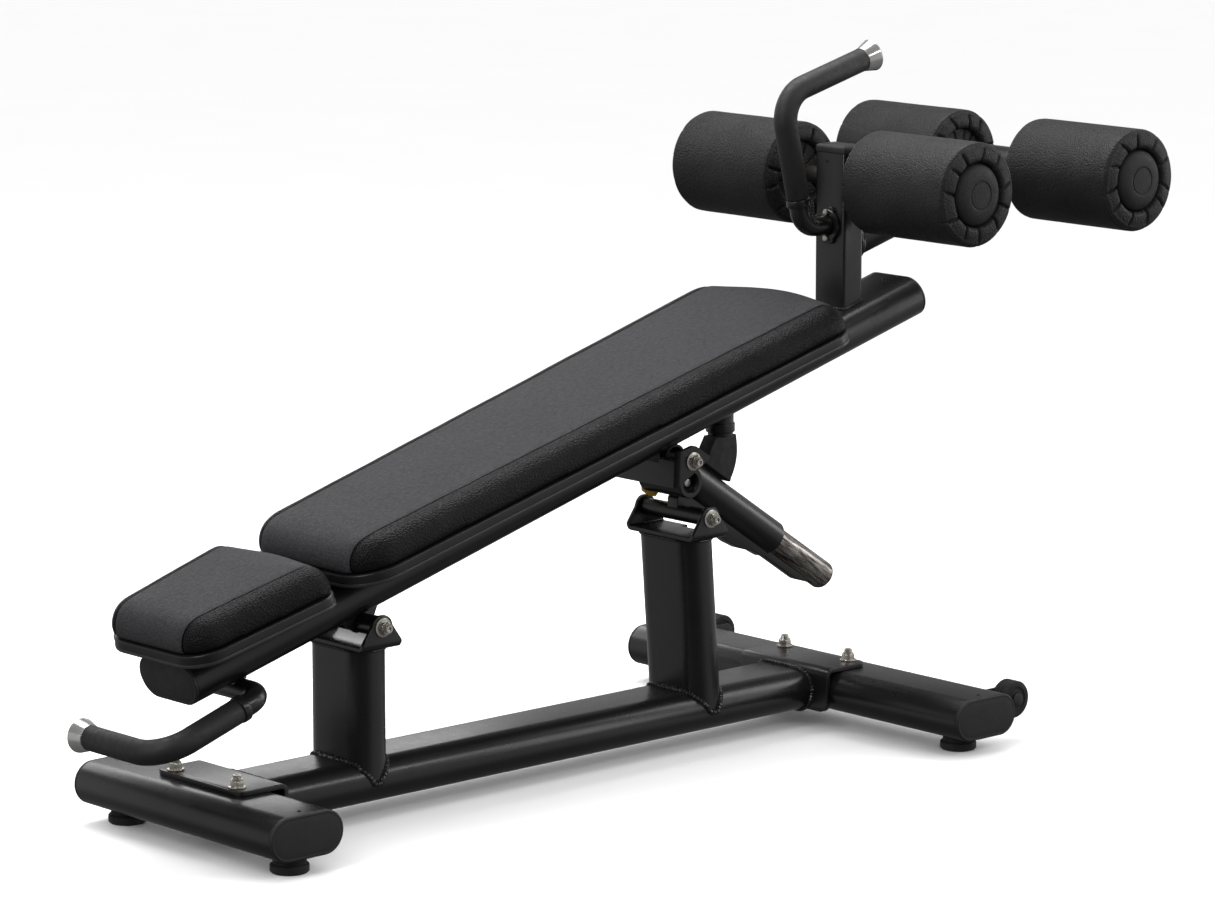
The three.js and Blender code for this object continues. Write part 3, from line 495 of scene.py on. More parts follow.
def bead(path, radius, seed=0, closed=True, sides=8):
    """A weld bead along a path: a rope of small overlapping ripples."""
    points = [Vector(p) for p in path]
    rings = []
    run = 0.0
    for i, point in enumerate(points):
        along = heading(points, i, closed)
        if closed or i:
            run += (point - points[i - 1]).length
        side = along.cross(Vector((0, 0, 1)))
        side = side.normalized() if side.length > 0.05 else along.orthogonal().normalized()
        up = side.cross(along)
        size = radius * (1 + 0.17 * math.sin(run * 1.3 + seed) + 0.12 * noise.noise(point * 0.2))
        rings.append(hoop(point, side, up, size, sides))
    if not closed:
        return loft(rings)
    rings.append(rings[0])
    return loft(rings, caps=False)


def resampled(path, spacing, closed=True):
    """Points evenly spaced along a path."""
    points = [Vector(p) for p in path]
    if closed:
        points.append(points[0])
    lengths = [(b - a).length for a, b in zip(points, points[1:])]
    total = sum(lengths)
    count = max(3, round(total / spacing))
    result, i, gone = [], 0, 0.0
    for k in range(count if closed else count + 1):
        target = total * k / count
        while i < len(lengths) - 1 and gone + lengths[i] < target:
            gone += lengths[i]
            i += 1
        share = (target - gone) / lengths[i] if lengths[i] else 0.0
        result.append(points[i].lerp(points[i + 1], min(1.0, share)))
    return result


def mesh_of(name, part):
    """A clean mesh of a part, in metres, with its faces turned outwards."""
    points, faces = part
    mesh = bpy.data.meshes.new(name)
    mesh.from_pydata([p * MM for p in points], [], faces)
    work = bmesh.new()
    work.from_mesh(mesh)
    bmesh.ops.remove_doubles(work, verts=work.verts, dist=2e-6)
    bmesh.ops.recalc_face_normals(work, faces=work.faces)
    work.to_mesh(mesh)
    work.free()
    return mesh


def shown(name, data, where=Matrix.Identity(4)):
    thing = bpy.data.objects.new(name, data)
    thing.matrix_world = where
    bpy.context.scene.collection.objects.link(thing)
    return thing


def carved(part, *tools, operation="DIFFERENCE"):
    """The part cut by each tool, or kept only where it meets them."""
    thing = shown("temporary", mesh_of("temporary", part))
    cutters = [shown("temporary", mesh_of("temporary", tool)) for tool in tools]
    for cutter in cutters:
        change = thing.modifiers.new("cut", "BOOLEAN")
        change.operation = operation
        change.solver = "EXACT"
        change.object = cutter
    seen = thing.evaluated_get(bpy.context.evaluated_depsgraph_get())
    mesh = seen.to_mesh()
    points = [v.co / MM for v in mesh.vertices]
    faces = [tuple(p.vertices) for p in mesh.polygons]
    seen.to_mesh_clear()
    for item in [thing, *cutters]:
        mesh = item.data
        bpy.data.objects.remove(item)
        bpy.data.meshes.remove(mesh)
    return points, faces


# ---- pieces ----

ON_BASE = (BASE, "base")
ON_BENCH = (BEAM, "bench")
ON_SLEEVE = (STRUT, "sleeve")
ON_STRUT = (STRUT, "strut")
ON_LATCH = (STRUT, "latch")


def piece(name, part, seat, material, *nodes, bevel=0.0, sharp=32):
    """Makes one visible piece. Its seat is its frame and its body, and it stands for the CAD nodes named."""
    where, body = seat
    mesh = mesh_of(name, part)
    mesh.shade_smooth()
    mesh.set_sharp_from_angle(angle=math.radians(sharp))
    mesh.materials.append(material)
    thing = shown(name, mesh, where)
    if bevel:
        edge = thing.modifiers.new("edge", "BEVEL")
        edge.width = bevel * MM
        edge.segments = 2
        edge.limit_method = "ANGLE"
        edge.angle_limit = math.radians(40)
        edge.harden_normals = True
    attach(thing, body)
    if nodes:
        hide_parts(*nodes)
    return thing


# ---- base ----

TUBE = (120, 60)
BASE_TOP = 84.3
BASE_MIDDLE = 54.3
BASE_SPAN = 1130
SPINE_END = 67.8
CAP_SEAT = 5.2
# A post's place along the base, the height of its top and how far it leans per unit of height.
FRONT_POST = (244, 239.2, 0)
REAR_POST = (847, 308.2, math.tan(math.radians(4.4)))
# Pivots, as places along the base and heights.
FRONT_PIVOT = (246, 270.5)
REAR_PIVOT = (849, 339.5)
STRUT_PIN = (818, 425)
WHEEL = (1220, 305, 62)


def oval_cap(facing):
    """The end cap of a frame tube: a lip, a rounded edge and a slightly domed face."""
    outline = oval(*TUBE, 24)
    steps = [(1.0, 0.0), (0.2, 0.4), (0.0, 1.0), (0.0, 2.9), (0.35, 3.9), (1.1, 4.6), (2.2, 5.0),
             (3.4, 5.05), (3.9, 4.8), (4.6, 4.8), (6.0, 5.1), (12, 5.5), (20, 5.8), (28.5, 5.9)]
    rings = [[(x, y, height) for x, y in inset(outline, distance)] for distance, height in steps]
    return moved(loft(rings), facing)


def cross_tube(name, length, x, feet, first):
    """A cross tube with its two caps, feet and bolts, whose numbers start at first."""
    half = length / 2
    tube = prism(oval(*TUBE, 24), CAP_SEAT - half, half - CAP_SEAT, "y", 0.6)
    piece(name, shifted(tube, x, 0, BASE_MIDDLE), ON_BASE, POWDER, name)
    for side, number in ((1, first), (-1, first + 1)):
        # A cap is drawn facing z; this turns it to face out along y.
        turn = Matrix.Rotation(-side * math.pi / 2, 4, "X")
        cap = shifted(oval_cap(turn), x, side * (half - CAP_SEAT), BASE_MIDDLE)
        piece(f"base_cap_{number}_cover", cap, ON_BASE, CAP, f"base_cap_{number}")
        piece(f"foot_{number}_pad", shifted(foot(), x, side * feet, 0), ON_BASE, RUBBER, f"foot_{number}")
        bolt = shifted(saddle_bolt(), x, side * 66, 0)
        piece(f"saddle_bolt_{number}_set", bolt, ON_BASE, NICKEL, f"saddle_bolt_{number}")
        screw = shifted(pan_screw(3.2, 1.4), x, side * (half - 18), BASE_TOP)
        piece(f"base_cap_{number}_screw", screw, ON_BASE, CAP)


def foot():
    """A round rubber foot with a wider tread and a moulded groove."""
    profile = filleted([
        (0, 0, 0), (23.5, 0, 1.5), (26, 2.5, 1.5), (26, 11, 2.5), (22.5, 13, 1.2), (21.5, 24.6, 0.5),
        (0, 24.6, 0),
    ], 4, closed=False)
    return moved(turned(profile, 56), Y_TO_Z)


def pan_screw(radius, height):
    """A small domed screw head with a socket."""
    profile = [(0, height * 0.35), (radius * 0.42, height * 0.35), (radius * 0.45, height * 0.95),
               (radius * 0.75, height * 0.8), (radius, height * 0.2), (radius, -0.8), (0, -0.8)]
    return moved(turned(profile, 20), Y_TO_Z)


def hex_nut(radius, start, height, collar=True):
    """A nut along y with rounded corners, a raised chamfer and a locking collar."""
    corners = [(radius * math.cos(a), radius * math.sin(a), 0.7) for a in full_circle(6)]
    outline = filleted(corners, 3)
    body = moved(prism(outline, 0, height, "z", 0.8), Matrix.Rotation(-math.pi / 2, 4, "X"))
    parts = [shifted(body, 0, start, 0)]
    if collar:
        r = radius * 0.82
        profile = [(0, 0), (r, 0), (r, 1.2), (r - 0.6, 1.8), (r * 0.76, 1.8), (r * 0.72, 1.2), (0, 1.2)]
        parts.append(shifted(turned(profile, 32), 0, start + height - 0.1, 0))
    return merged(*parts)


def bolt_end(radius, start, end, pitch=1.5):
    """A bolt's threaded end along y, flat, with a socket in it."""
    profile = [(0, start)]
    y = start
    while y < end - pitch - 0.8:
        profile += [(radius - 0.6, y), (radius, y + pitch * 0.4), (radius, y + pitch * 0.6)]
        y += pitch
    profile += [(radius - 0.6, y), (radius, end - 1.0), (radius - 0.7, end), (radius * 0.52, end)]
    profile += [(radius * 0.48, end - 2.4), (0, end - 2.4)]
    return turned(profile, 24)


def washer(radius, start, thickness=2.0):
    """A washer along y."""
    return rod(radius, start, start + thickness, 0.5, 36)


def saddle_bolt():
    """A bolt through the cross tube: head below, washer, locking nut and thread end above."""
    seat = 92.0
    head = hex_nut(10, 18.5, 6, collar=False)
    upper = merged(washer(12, seat), hex_nut(9.6, seat + 2, 8), bolt_end(6, seat + 9, seat + 17))
    under = washer(11, 22.6, 1.5)
    return moved(merged(head, under, upper), Y_TO_Z)


def bolt_pair(reach):
    """A hinge bolt with a washer outside each ear, its nut at -reach along y and its head at +reach."""
    shank = merged(rod(6, 0, reach + 2, 0.5), washer(13.2, reach + 0.2))
    nut = hex_nut(9.8, reach + 2.2, 7.5)
    head = hex_nut(9.8, reach + 2.2, 7, collar=False)
    nut_end = merged(shank, nut, bolt_end(6, reach + 8, reach + 15))
    head_end = merged(shank, head, rod(6.8, reach + 8, reach + 9.6, 0.7))
    return merged(moved(nut_end, HALF_TURN), head_end)


def bent_plate(points, half_width, thickness, edge=1.0):
    """A plate along points in x and z. Its half width in y depends on the distances to both ends."""
    runs = [0.0]
    for a, b in zip(points, points[1:]):
        runs.append(runs[-1] + (b - a).length)
    rings = []
    for i, point in enumerate(points):
        along = heading(points, i)
        out = Vector((along.z, 0, -along.x))
        half = half_width(runs[i], runs[-1] - runs[i])
        section = box_outline(2 * half, thickness, edge, 3)
        rings.append([point + Vector((0, w, 0)) + out * h for w, h in section])
    return loft(rings)


def saddle(x, turn):
    """An angle plate that lies on the cross tube and turns down at its spine side."""
    thick, widest, corner = 7.0, 90.0, 12.0
    mid = BASE_TOP + 0.3 + thick / 2
    bend = filleted([(-14.5, mid, 0), (64, mid, 8.5), (64, 27, 0)], 8, closed=False)
    path = resampled([(along, 0, z) for along, z in bend], 2.5, closed=False)

    def half_width(start, end):
        near = min(start, end)
        if near >= corner:
            return widest
        return widest - corner + math.sqrt(max(0.0, corner ** 2 - (corner - near) ** 2))

    plate = bent_plate(path, half_width, thick, 1.2)
    return moved(plate, Matrix.Translation((x, 0, 0)) @ Matrix.Rotation(turn, 4, "Z"))


def post_outline(grown=0.0):
    """The flat oval of a post, wide in y, grown all round by a distance."""
    return [(-y, x) for x, y in inset(oval(*TUBE, 24), -grown)]


def post(x, top, lean):
    """An upright of frame tube, run down into the spine and leaning by a share of its height."""
    bottom = BASE_MIDDLE + 2
    outline = post_outline()
    rings = []
    for z in (bottom, (bottom + top) / 2, top - 0.5, top):
        edge = inset(outline, 0.5) if z == top else outline
        rings.append([(x + px - lean * (z - top), py, z) for px, py in edge])
    return loft(rings)


def post_weld(x, top, lean, seed):
    """The bead where a post is coped over the spine: it drops round the spine's rounded sides."""
    path = []
    for px, py, _ in resampled([(a, b, 0) for a, b in post_outline(0.8)], 1.2):
        over = max(0.0, abs(py) - 30)
        z = BASE_MIDDLE + math.sqrt(max(0.0, 30.0 ** 2 - min(over, 30.0) ** 2)) + 0.6
        path.append((x + px - lean * (z - top), py, z))
    return bead(path, 3.9, seed)


def clevis_half_width(z):
    """Half the width of a clevis: round above its pivot and widening below it to the floor plate."""
    if z >= 2:
        return math.sqrt(max(0.0, 16.5 ** 2 - z ** 2)) + 1.2
    return 17.6 + (33.8 - 17.6) * min(1.0, (2 - z) / 23)


def clevis():
    """A bent plate with two tapered ears, its pivot at the origin along y."""
    half, thick, low, top = 67.0, 6.0, -28.0, 16.0
    path = filleted([(-half, top, 0), (-half, low, 6), (half, low, 6), (half, top, 0)], 8, closed=False)
    points = resampled([(0, y, z) for y, z in path], 1.5, closed=False)
    rings = []
    for i, point in enumerate(points):
        along = heading(points, i)
        out = Vector((0, along.z, -along.y))
        wide = clevis_half_width(point.z)
        section = box_outline(2 * wide, thick, min(1.0, wide * 0.8), 3)
        rings.append([point + Vector((w, 0, 0)) + out * h for w, h in section])
    return loft(rings)


def wheel_bracket(side):
    """A stub plate on the rear cross tube's flank with the wheel's axle and its head."""
    x, y, z = WHEEL
    root = x - 50
    outline = filleted([(root, z - 15, 1), (x + 14, z - 15, 13), (x + 14, z + 15, 13), (root, z + 15, 1)], 8)
    plate = prism(outline, -(y - 14), -(y - 19), "y", 0.8)
    axle = shifted(merged(rod(6, y - 19, y + 13, 0.5), rod(9.5, y + 13, y + 17, 1.2)), x, 0, z)
    part = merged(plate, axle)
    return part if side > 0 else moved(part, Matrix.Scale(-1, 4, (0, 1, 0)))


def wheel():
    """A solid tyre with a hub step and tread grooves."""
    half = 12
    outer = []
    for y in (-8.5, -3, 3, 8.5):
        outer += [(27, y - 1.2), (25.9, y - 0.7), (25.9, y + 0.7), (27, y + 1.2)]
    edge = [(6.4, half), (13, half), (14, half - 1.5), (18, half - 1.5), (19, half), (24.5, half),
            (26.3, half - 0.8), (27, half - 2)]
    profile = [(r, -y) for r, y in edge] + outer + edge[::-1] + [(6.4, -half)]
    return turned(profile, 56)


def at_pivot(part, pivot):
    """A part moved to a place (x, z)."""
    return shifted(part, pivot[0], 0, pivot[1])


def build_posts():
    """The two posts with their clevises and hinge bolts."""
    piece("front_post_tube", post(*FRONT_POST), ON_BASE, POWDER, "front_post")
    piece("rear_post_tube", post(*REAR_POST), ON_BASE, POWDER, "rear_post")
    piece("front_post_weld", post_weld(*FRONT_POST, 3), ON_BASE, POWDER)
    piece("rear_post_weld", post_weld(*REAR_POST, 4), ON_BASE, POWDER)
    for name, x, z, seed in (("front", FRONT_POST[0], 237.6, 5), ("rear", REAR_POST[0], 306.4, 6)):
        path = resampled([(a, b, z) for a, b in post_outline(0.4)], 1.2)
        weld = shifted(bead(path, 1.9, seed), x, 0, 0)
        piece(f"{name}_clevis_weld", weld, ON_BASE, POWDER)
    notch = shifted(prism(box_outline(28, 28, 2), -45, -15, "z", 0.1), 34, 0, 0)
    front = at_pivot(clevis(), FRONT_PIVOT)
    piece("front_clevis_plate", front, ON_BASE, POWDER, "front_clevis")
    rear = at_pivot(carved(clevis(), notch), REAR_PIVOT)
    piece("rear_clevis_plate", rear, ON_BASE, POWDER, "rear_clevis")
    for name, pivot in (("beam", FRONT_PIVOT), ("strut", REAR_PIVOT)):
        bolts = at_pivot(bolt_pair(70), pivot)
        piece(f"{name}_hinge_set", bolts, ON_BASE, NICKEL, f"{name}_hinge_bolt")


def build_base():
    cross_tube("front_cross_tube", 426, 0, 174, 1)
    cross_tube("rear_cross_tube", 690, BASE_SPAN, 289, 3)
    spine = shifted(prism(oval(*TUBE, 24), SPINE_END, BASE_SPAN - SPINE_END, "x", 0.4), 0, 0, BASE_MIDDLE)
    piece("base_spine_tube", spine, ON_BASE, POWDER, "base_spine")
    piece("front_saddle_plate", saddle(0, 0), ON_BASE, POWDER, "front_saddle")
    piece("rear_saddle_plate", saddle(BASE_SPAN, math.pi), ON_BASE, POWDER, "rear_saddle")
    weld_x = SPINE_END + 0.4
    for name, x, seed in (("front", weld_x, 1), ("rear", BASE_SPAN - weld_x, 2)):
        ring = [(x, a, b + BASE_MIDDLE) for a, b in inset(oval(*TUBE, 24), -0.6)]
        weld = bead(resampled(ring, 1.2), 3.2, seed)
        piece(f"spine_weld_{name}", weld, ON_BASE, POWDER)
    build_posts()
    for side, word in ((1, "left"), (-1, "right")):
        bracket = wheel_bracket(side)
        piece(f"wheel_bracket_{word}_plate", bracket, ON_BASE, POWDER, f"wheel_bracket_{word}")
        tyre = shifted(wheel(), WHEEL[0], side * WHEEL[1], WHEEL[2])
        piece(f"wheel_{word}_tyre", tyre, (BASE, f"wheel_{word[0]}"), RUBBER, f"wheel_{word}")


# ---- bench beam, in its own frame: hinge at the origin, x up along the beam ----

BEAM_LEVEL = 46.4
BEAM_TOP = 76.4
BEAM_UNDER = 16.4
BEAM_LOW = -300.8
BEAM_HIGH = 1092.8
# How far the strut bracket's front web leans forward per unit of height.
WEB_LEAN = 0.372


def beam_point(x, z, y=0.0):
    return in_frame(BEAM, (x, y, z))


def world_part(part):
    """A part drawn in base coordinates, seen from the beam's frame."""
    change = BEAM.inverted() @ BASE
    points, faces = part
    return [(change @ (p * MM)) / MM for p in points], faces


def build_beam():
    tube = shifted(prism(oval(*TUBE, 24), BEAM_LOW, BEAM_HIGH, "x", 0.6), 0, 0, BEAM_LEVEL)
    piece("beam_tube_body", tube, ON_BENCH, POWDER, "beam_tube")
    for node, x, turn in (("beam_cap_low", BEAM_LOW, -1), ("beam_cap_high", BEAM_HIGH, 1)):
        facing = Matrix.Translation((x, 0, BEAM_LEVEL)) @ Matrix.Rotation(turn * math.pi / 2, 4, "Y")
        cap = moved(oval_cap(Matrix.Rotation(math.pi / 2, 4, "Z")), facing)
        piece(node + "_cover", cap, ON_BENCH, CAP, node)
        screw = shifted(pan_screw(3.2, 1.4), x - turn * 14, 0, BEAM_TOP)
        piece(node + "_screw", screw, ON_BENCH, CAP)
    cheek = filleted([(-13, -11, 9), (13, -11, 9), (36, BEAM_UNDER + 1, 0), (-36, BEAM_UNDER + 1, 0)], 6)
    parts = [pipe(14, 6.4, -63, 63)]
    for y in (-24, 24):
        parts.append(prism(cheek, y - 3, y + 3, "y", 0.8))
    piece("beam_hinge_pipe", merged(*parts), ON_BENCH, POWDER, "beam_hinge_barrel")
    piece("strut_bracket_plate", strut_bracket(), ON_BENCH, POWDER, "strut_bracket", bevel=0.9)
    pin = beam_point(*STRUT_PIN)
    top = pin.x - 41.5 + WEB_LEAN * (BEAM_UNDER - pin.z + 25)
    seam = [(top, y, BEAM_UNDER - 0.5) for y in (-27, 27)]
    weld = bead(resampled(seam, 1.2, closed=False), 3.0, 8, closed=False)
    piece("strut_bracket_weld", weld, ON_BENCH, POWDER)
    bolt = shifted(bolt_pair(66), pin.x, 0, pin.z)
    piece("strut_pin_set", bolt, ON_BENCH, NICKEL, "strut_pin_bolt")


def strut_bracket():
    """Two ears and a leaning front web, held under the beam by a narrower tab."""
    pin = beam_point(*STRUT_PIN)
    half, thick = 66.0, 6.0
    front, back, low = pin.x - 40, pin.x + 60, pin.z - 25
    channel = filleted([
        (back, -half, 0), (front, -half, 8), (front, half, 8), (back, half, 0),
        (back, half - thick, 0), (front + thick, half - thick, 2), (front + thick, thick - half, 2),
        (back, thick - half, 0),
    ], 5)
    channel.reverse()
    ear = filleted([
        (front - 1, low - 0.5, 0), (front + 2, low - 1, 2), (pin.x + 35, pin.z - 8, 3),
        (pin.x + 9, pin.z + 21, 12), (pin.x - 24, pin.z + 22, 4), (pin.x - 42, pin.z + 22, 0),
        (pin.x - 42, low, 0),
    ], 6)
    slant = Matrix(((1, 0, WEB_LEAN, -WEB_LEAN * low), (0, 1, 0, 0), (0, 0, 1, 0), (0, 0, 0, 1)))
    body = moved(prism(channel, -120, 120, "z", 0.01, 1), slant)
    side = prism(ear, -200, 200, "y", 0.01, 1)
    gap = moved(prism(box_outline(60, 31, 1), pin.z + 9.6, 120, "z", 0.01, 1), slant)
    gaps = [shifted(gap, front, y, 0) for y in (42.5, -42.5)]
    tab = moved(prism(box_outline(thick, 54, 1), pin.z + 4, 60, "z", 0.3, 1), slant)
    tube = shifted(prism(oval(120.6, 60.6, 24), pin.x - 200, pin.x + 200, "x", 0.1), 0, 0, BEAM_LEVEL)
    tab = carved(shifted(tab, front + thick / 2, 0, 0), tube)
    return merged(carved(carved(body, side, operation="INTERSECT"), *gaps), tab)


# ---- pads ----

SEAM_Z = 100.7
PRESSURE = 3.0
MOST_SWELL = 3.0
FILL_FRAMES = 14


def pad_outline(pad, spacing=4.5):
    low, high = pad["low"], pad["high"]
    corners = [
        (low, -pad["low_half"], pad["low_corner"]),
        (high - pad["bow"], -pad["high_half"], pad["high_corner"]),
        (high + 6, 0, 300),
        (high - pad["bow"], pad["high_half"], pad["high_corner"]),
        (low, pad["low_half"], pad["low_corner"]),
    ]
    dots = resampled([(x, y, 0) for x, y in filleted(corners, 14)], spacing)
    return [(p.x, p.y) for p in dots]


def seam_half(pad, x):
    share = (x - pad["low"]) / (pad["high"] - pad["low"])
    return pad["low_half"] + (pad["high_half"] - pad["low_half"]) * share - pad["bolster"]


def board(pad):
    return prism(pad_outline(pad, 6), BEAM_TOP + 6, BEAM_TOP + 24, "z", 2.2, 4)


def trim(pad):
    """A thin bead round the board's lower edge."""
    points = [Vector((x, y, BEAM_TOP + 9.5)) for x, y in pad_outline(pad, 5)]
    section = [(-1.0, -2.4), (0.5, -2.2), (0.9, -1.4), (0.9, 1.4), (0.5, 2.2), (-1.0, 2.4)]
    rings = []
    for i, point in enumerate(points):
        along = heading(points, i, closed=True)
        out = Vector((along.y, -along.x, 0))
        rings.append([point + out * a + Vector((0, 0, b)) for a, b in section])
    rings.append(rings[0])
    return loft(rings, caps=False)


def on_spine(point, pad):
    """The nearest spot on the middle line of a pad, which stops short of both ends."""
    spread = 70
    x = min(max(point.x, pad["low"] + spread), pad["high"] - spread)
    return Vector((x, 0, point.z))


def pad_skin(pad):
    """The sewn cover before it is filled: rings from the underside up round the bolster to the middle."""
    outline = pad_outline(pad)
    wide, height = pad["bolster"] + 1.5, 40.0
    levels = [(9.0, 0.0), (4.0, 0.0), (1.6, 0.5), (0.5, 2.0)]
    for k in range(0, 23):
        a = math.pi / 2 * k / 22
        levels.append((wide * (1 - math.cos(a)) + 0.2, 3.6 + height * math.sin(a) ** 0.92))
    rings = [[Vector((x, y, SEAM_Z + z)) for x, y in inset(outline, d)] for d, z in levels]
    inner = rings[-1]
    steps = 14
    for k in range(1, steps + 1):
        share = (k / steps) ** 0.85
        ring = []
        for p in inner:
            q = p.lerp(on_spine(p, pad), share)
            q.z = p.z + 2.6 * (1 - (1 - share) ** 2)
            ring.append(q)
        rings.append(ring)
    under = []
    for p in rings[0]:
        under.append([p.lerp(on_spine(p, pad), share) for share in (1.0, 0.66, 0.33)])
    for k in (2, 1, 0):
        rings.insert(0, [column[k] for column in under])
    return loft(rings, caps=False)


def applied(thing):
    """Makes a piece's modifiers part of its mesh."""
    seen = thing.evaluated_get(bpy.context.evaluated_depsgraph_get())
    mesh, old = bpy.data.meshes.new_from_object(seen), thing.data
    thing.modifiers.clear()
    thing.data = mesh
    bpy.data.meshes.remove(old)


def woven(thing, size):
    """Rebuilds the cover from small even faces, so that it moves like cloth."""
    weave = thing.modifiers.new("weave", "REMESH")
    weave.mode = "VOXEL"
    weave.voxel_size = size * MM
    soften = thing.modifiers.new("soften", "SMOOTH")
    soften.factor = 0.5
    soften.iterations = 5
    applied(thing)


def hold_seams(thing, pad):
    """Marks what the filling can't move: the two seams and the underside."""
    held = thing.vertex_groups.new(name="held")
    for v in thing.data.vertices:
        x, y, z = v.co / MM
        near_seam = abs(abs(y) - seam_half(pad, x)) < 3.2
        if z < SEAM_Z + 5.0 or near_seam:
            held.add([v.index], 1.0, "REPLACE")


def cloth_on(thing):
    """Makes the cover light cloth under an even pressure from inside."""
    cloth = thing.modifiers.new("fill", "CLOTH")
    settings = cloth.settings
    settings.quality = 6
    settings.mass = 0.25
    settings.tension_stiffness = 40
    settings.compression_stiffness = 40
    settings.shear_stiffness = 20
    settings.bending_stiffness = 4
    settings.use_pressure = True
    settings.uniform_pressure_force = PRESSURE
    settings.vertex_group_mass = "held"
    settings.effector_weights.gravity = 0
    cloth.point_cache.frame_start = 1
    cloth.point_cache.frame_end = FILL_FRAMES
    return cloth


def fill_cover(thing, pad):
    """Blows the cover up a little, as far as its seams and underside let it."""
    mesh = thing.data
    rest = [v.co.copy() for v in mesh.vertices]
    hold_seams(thing, pad)
    cloth = cloth_on(thing)
    scene = bpy.context.scene
    for step in range(1, FILL_FRAMES + 1):
        scene.frame_set(step)
    seen = thing.evaluated_get(bpy.context.evaluated_depsgraph_get())
    swollen = [v.co.copy() for v in seen.data.vertices]
    thing.modifiers.remove(cloth)
    scene.frame_set(1)
    for v, start, end in zip(mesh.vertices, rest, swollen):
        move = end - start
        if move.length > MOST_SWELL * MM:
            move = move.normalized() * (MOST_SWELL * MM)
        v.co = start + move
    mesh.update()


def press_seam(thing, pad):
    """Draws the sewn line down into the foam and marks which side each point is on."""
    mesh = thing.data
    side = mesh.attributes.new("panel", "FLOAT", "POINT")
    normals = [v.normal.copy() for v in mesh.vertices]
    for v in mesh.vertices:
        x, y, z = v.co / MM
        gap = seam_half(pad, x) - abs(y)
        side.data[v.index].value = gap * MM
        if z > SEAM_Z + 3:
            v.co -= normals[v.index] * (2.1 * math.exp(-(gap / 2.8) ** 2) * MM)
    mesh.update()


def wrinkle(thing):
    """Very slight unevenness of a filled cover."""
    normals = [v.normal.copy() for v in thing.data.vertices]
    for v in thing.data.vertices:
        p = v.co / MM
        if p.z > SEAM_Z + 4:
            v.co += normals[v.index] * (0.45 * noise.noise(p * 0.012) + 0.12 * noise.noise(p * 0.05)) * MM
    thing.data.update()


def seam_path(pad, tree, side):
    """Points and normals on the cover along one sewn line, from one end's foot to the other's."""
    deep = pad["bolster"] + 2
    found = []

    def look(origin, direction):
        hit, normal, _, _ = tree.ray_cast(Vector(origin) * MM, Vector(direction), 0.4)
        if hit is not None:
            found.append((hit / MM, normal))

    low, high = pad["low"] + deep, pad["high"] - 8 - deep
    for k in range(34):
        a = math.radians(86 - 86 * k / 33)
        half = seam_half(pad, low - 20 * math.sin(a))
        look((low, side * half, SEAM_Z + 4), (-math.sin(a), 0, math.cos(a)))
    count = int((high - low) / 3)
    for k in range(1, count):
        x = low + (high - low) * k / count
        look((x, side * seam_half(pad, x), SEAM_Z + 4), (0, 0, 1))
    for k in range(34):
        a = math.radians(86 * k / 33)
        half = seam_half(pad, high + 20 * math.sin(a))
        look((high, side * half, SEAM_Z + 4), (math.sin(a), 0, math.cos(a)))
    return found


def stitches(pad, tree):
    """A row of short thread stitches on the bolster side of each seam."""
    parts = []
    for side in (1, -1):
        path = seam_path(pad, tree, side)
        line = [p + Vector((0, side * 0.2, 0)) + n * 0.15 for p, n in path]
        dots = resampled(line, 4.2, closed=False)
        for a, b in zip(dots, dots[1:]):
            start, end = a.lerp(b, 0.12), a.lerp(b, 0.88)
            parts.append(bar([start, end], 0.42, 1, 6, 0.2))
    return merged(*parts)


def cushion(name, pad):
    """A pad with its board, the two blocks under the board, its trim and its stitching."""
    blocks = []
    for share in (0.22, 0.78):
        x = pad["low"] + share * (pad["high"] - pad["low"])
        block = prism(box_outline(50, 56, 3), BEAM_TOP + 0.2, BEAM_TOP + 8, "z", 0.5)
        blocks.append(shifted(block, x, 0, 0))
    piece(f"{name}_board_shell", merged(board(pad), *blocks), ON_BENCH, BOARD, f"{name}_board")
    piece(f"{name}_board_trim", trim(pad), ON_BENCH, EDGE)
    skin = piece(f"{name}_pad_cover", pad_skin(pad), ON_BENCH, COVER, f"{name}_pad", sharp=60)
    woven(skin, 5)
    fill_cover(skin, pad)
    fine = skin.modifiers.new("fine", "SUBSURF")
    fine.levels = fine.render_levels = 1
    applied(skin)
    skin.data.shade_smooth()
    wrinkle(skin)
    press_seam(skin, pad)
    work = bmesh.new()
    work.from_mesh(skin.data)
    tree = BVHTree.FromBMesh(work)
    piece(f"{name}_pad_stitching", stitches(pad, tree), ON_BENCH, THREAD)
    work.free()


HEAD = {"low": -322, "high": -84, "low_half": 104, "high_half": 123, "low_corner": 48, "high_corner": 28,
        "bow": 6, "bolster": 32}
BACK = {"low": -54, "high": 892, "low_half": 130, "high_half": 156, "low_corner": 62, "high_corner": 46,
        "bow": 30, "bolster": 35}


# ---- rollers ----

ROLLER_IN, ROLLER_OUT = 75.0, 278.0
ROLLER_HALF = (ROLLER_OUT - ROLLER_IN) / 2
ROLLER_RADIUS = 74.7
SHOULDER = 9
PLEATS = 11
ROLLER_SIDES = 300
FRONT_AXLE = (1168.6, 791.4)
REAR_AXLE = (1508.7, 783.7)


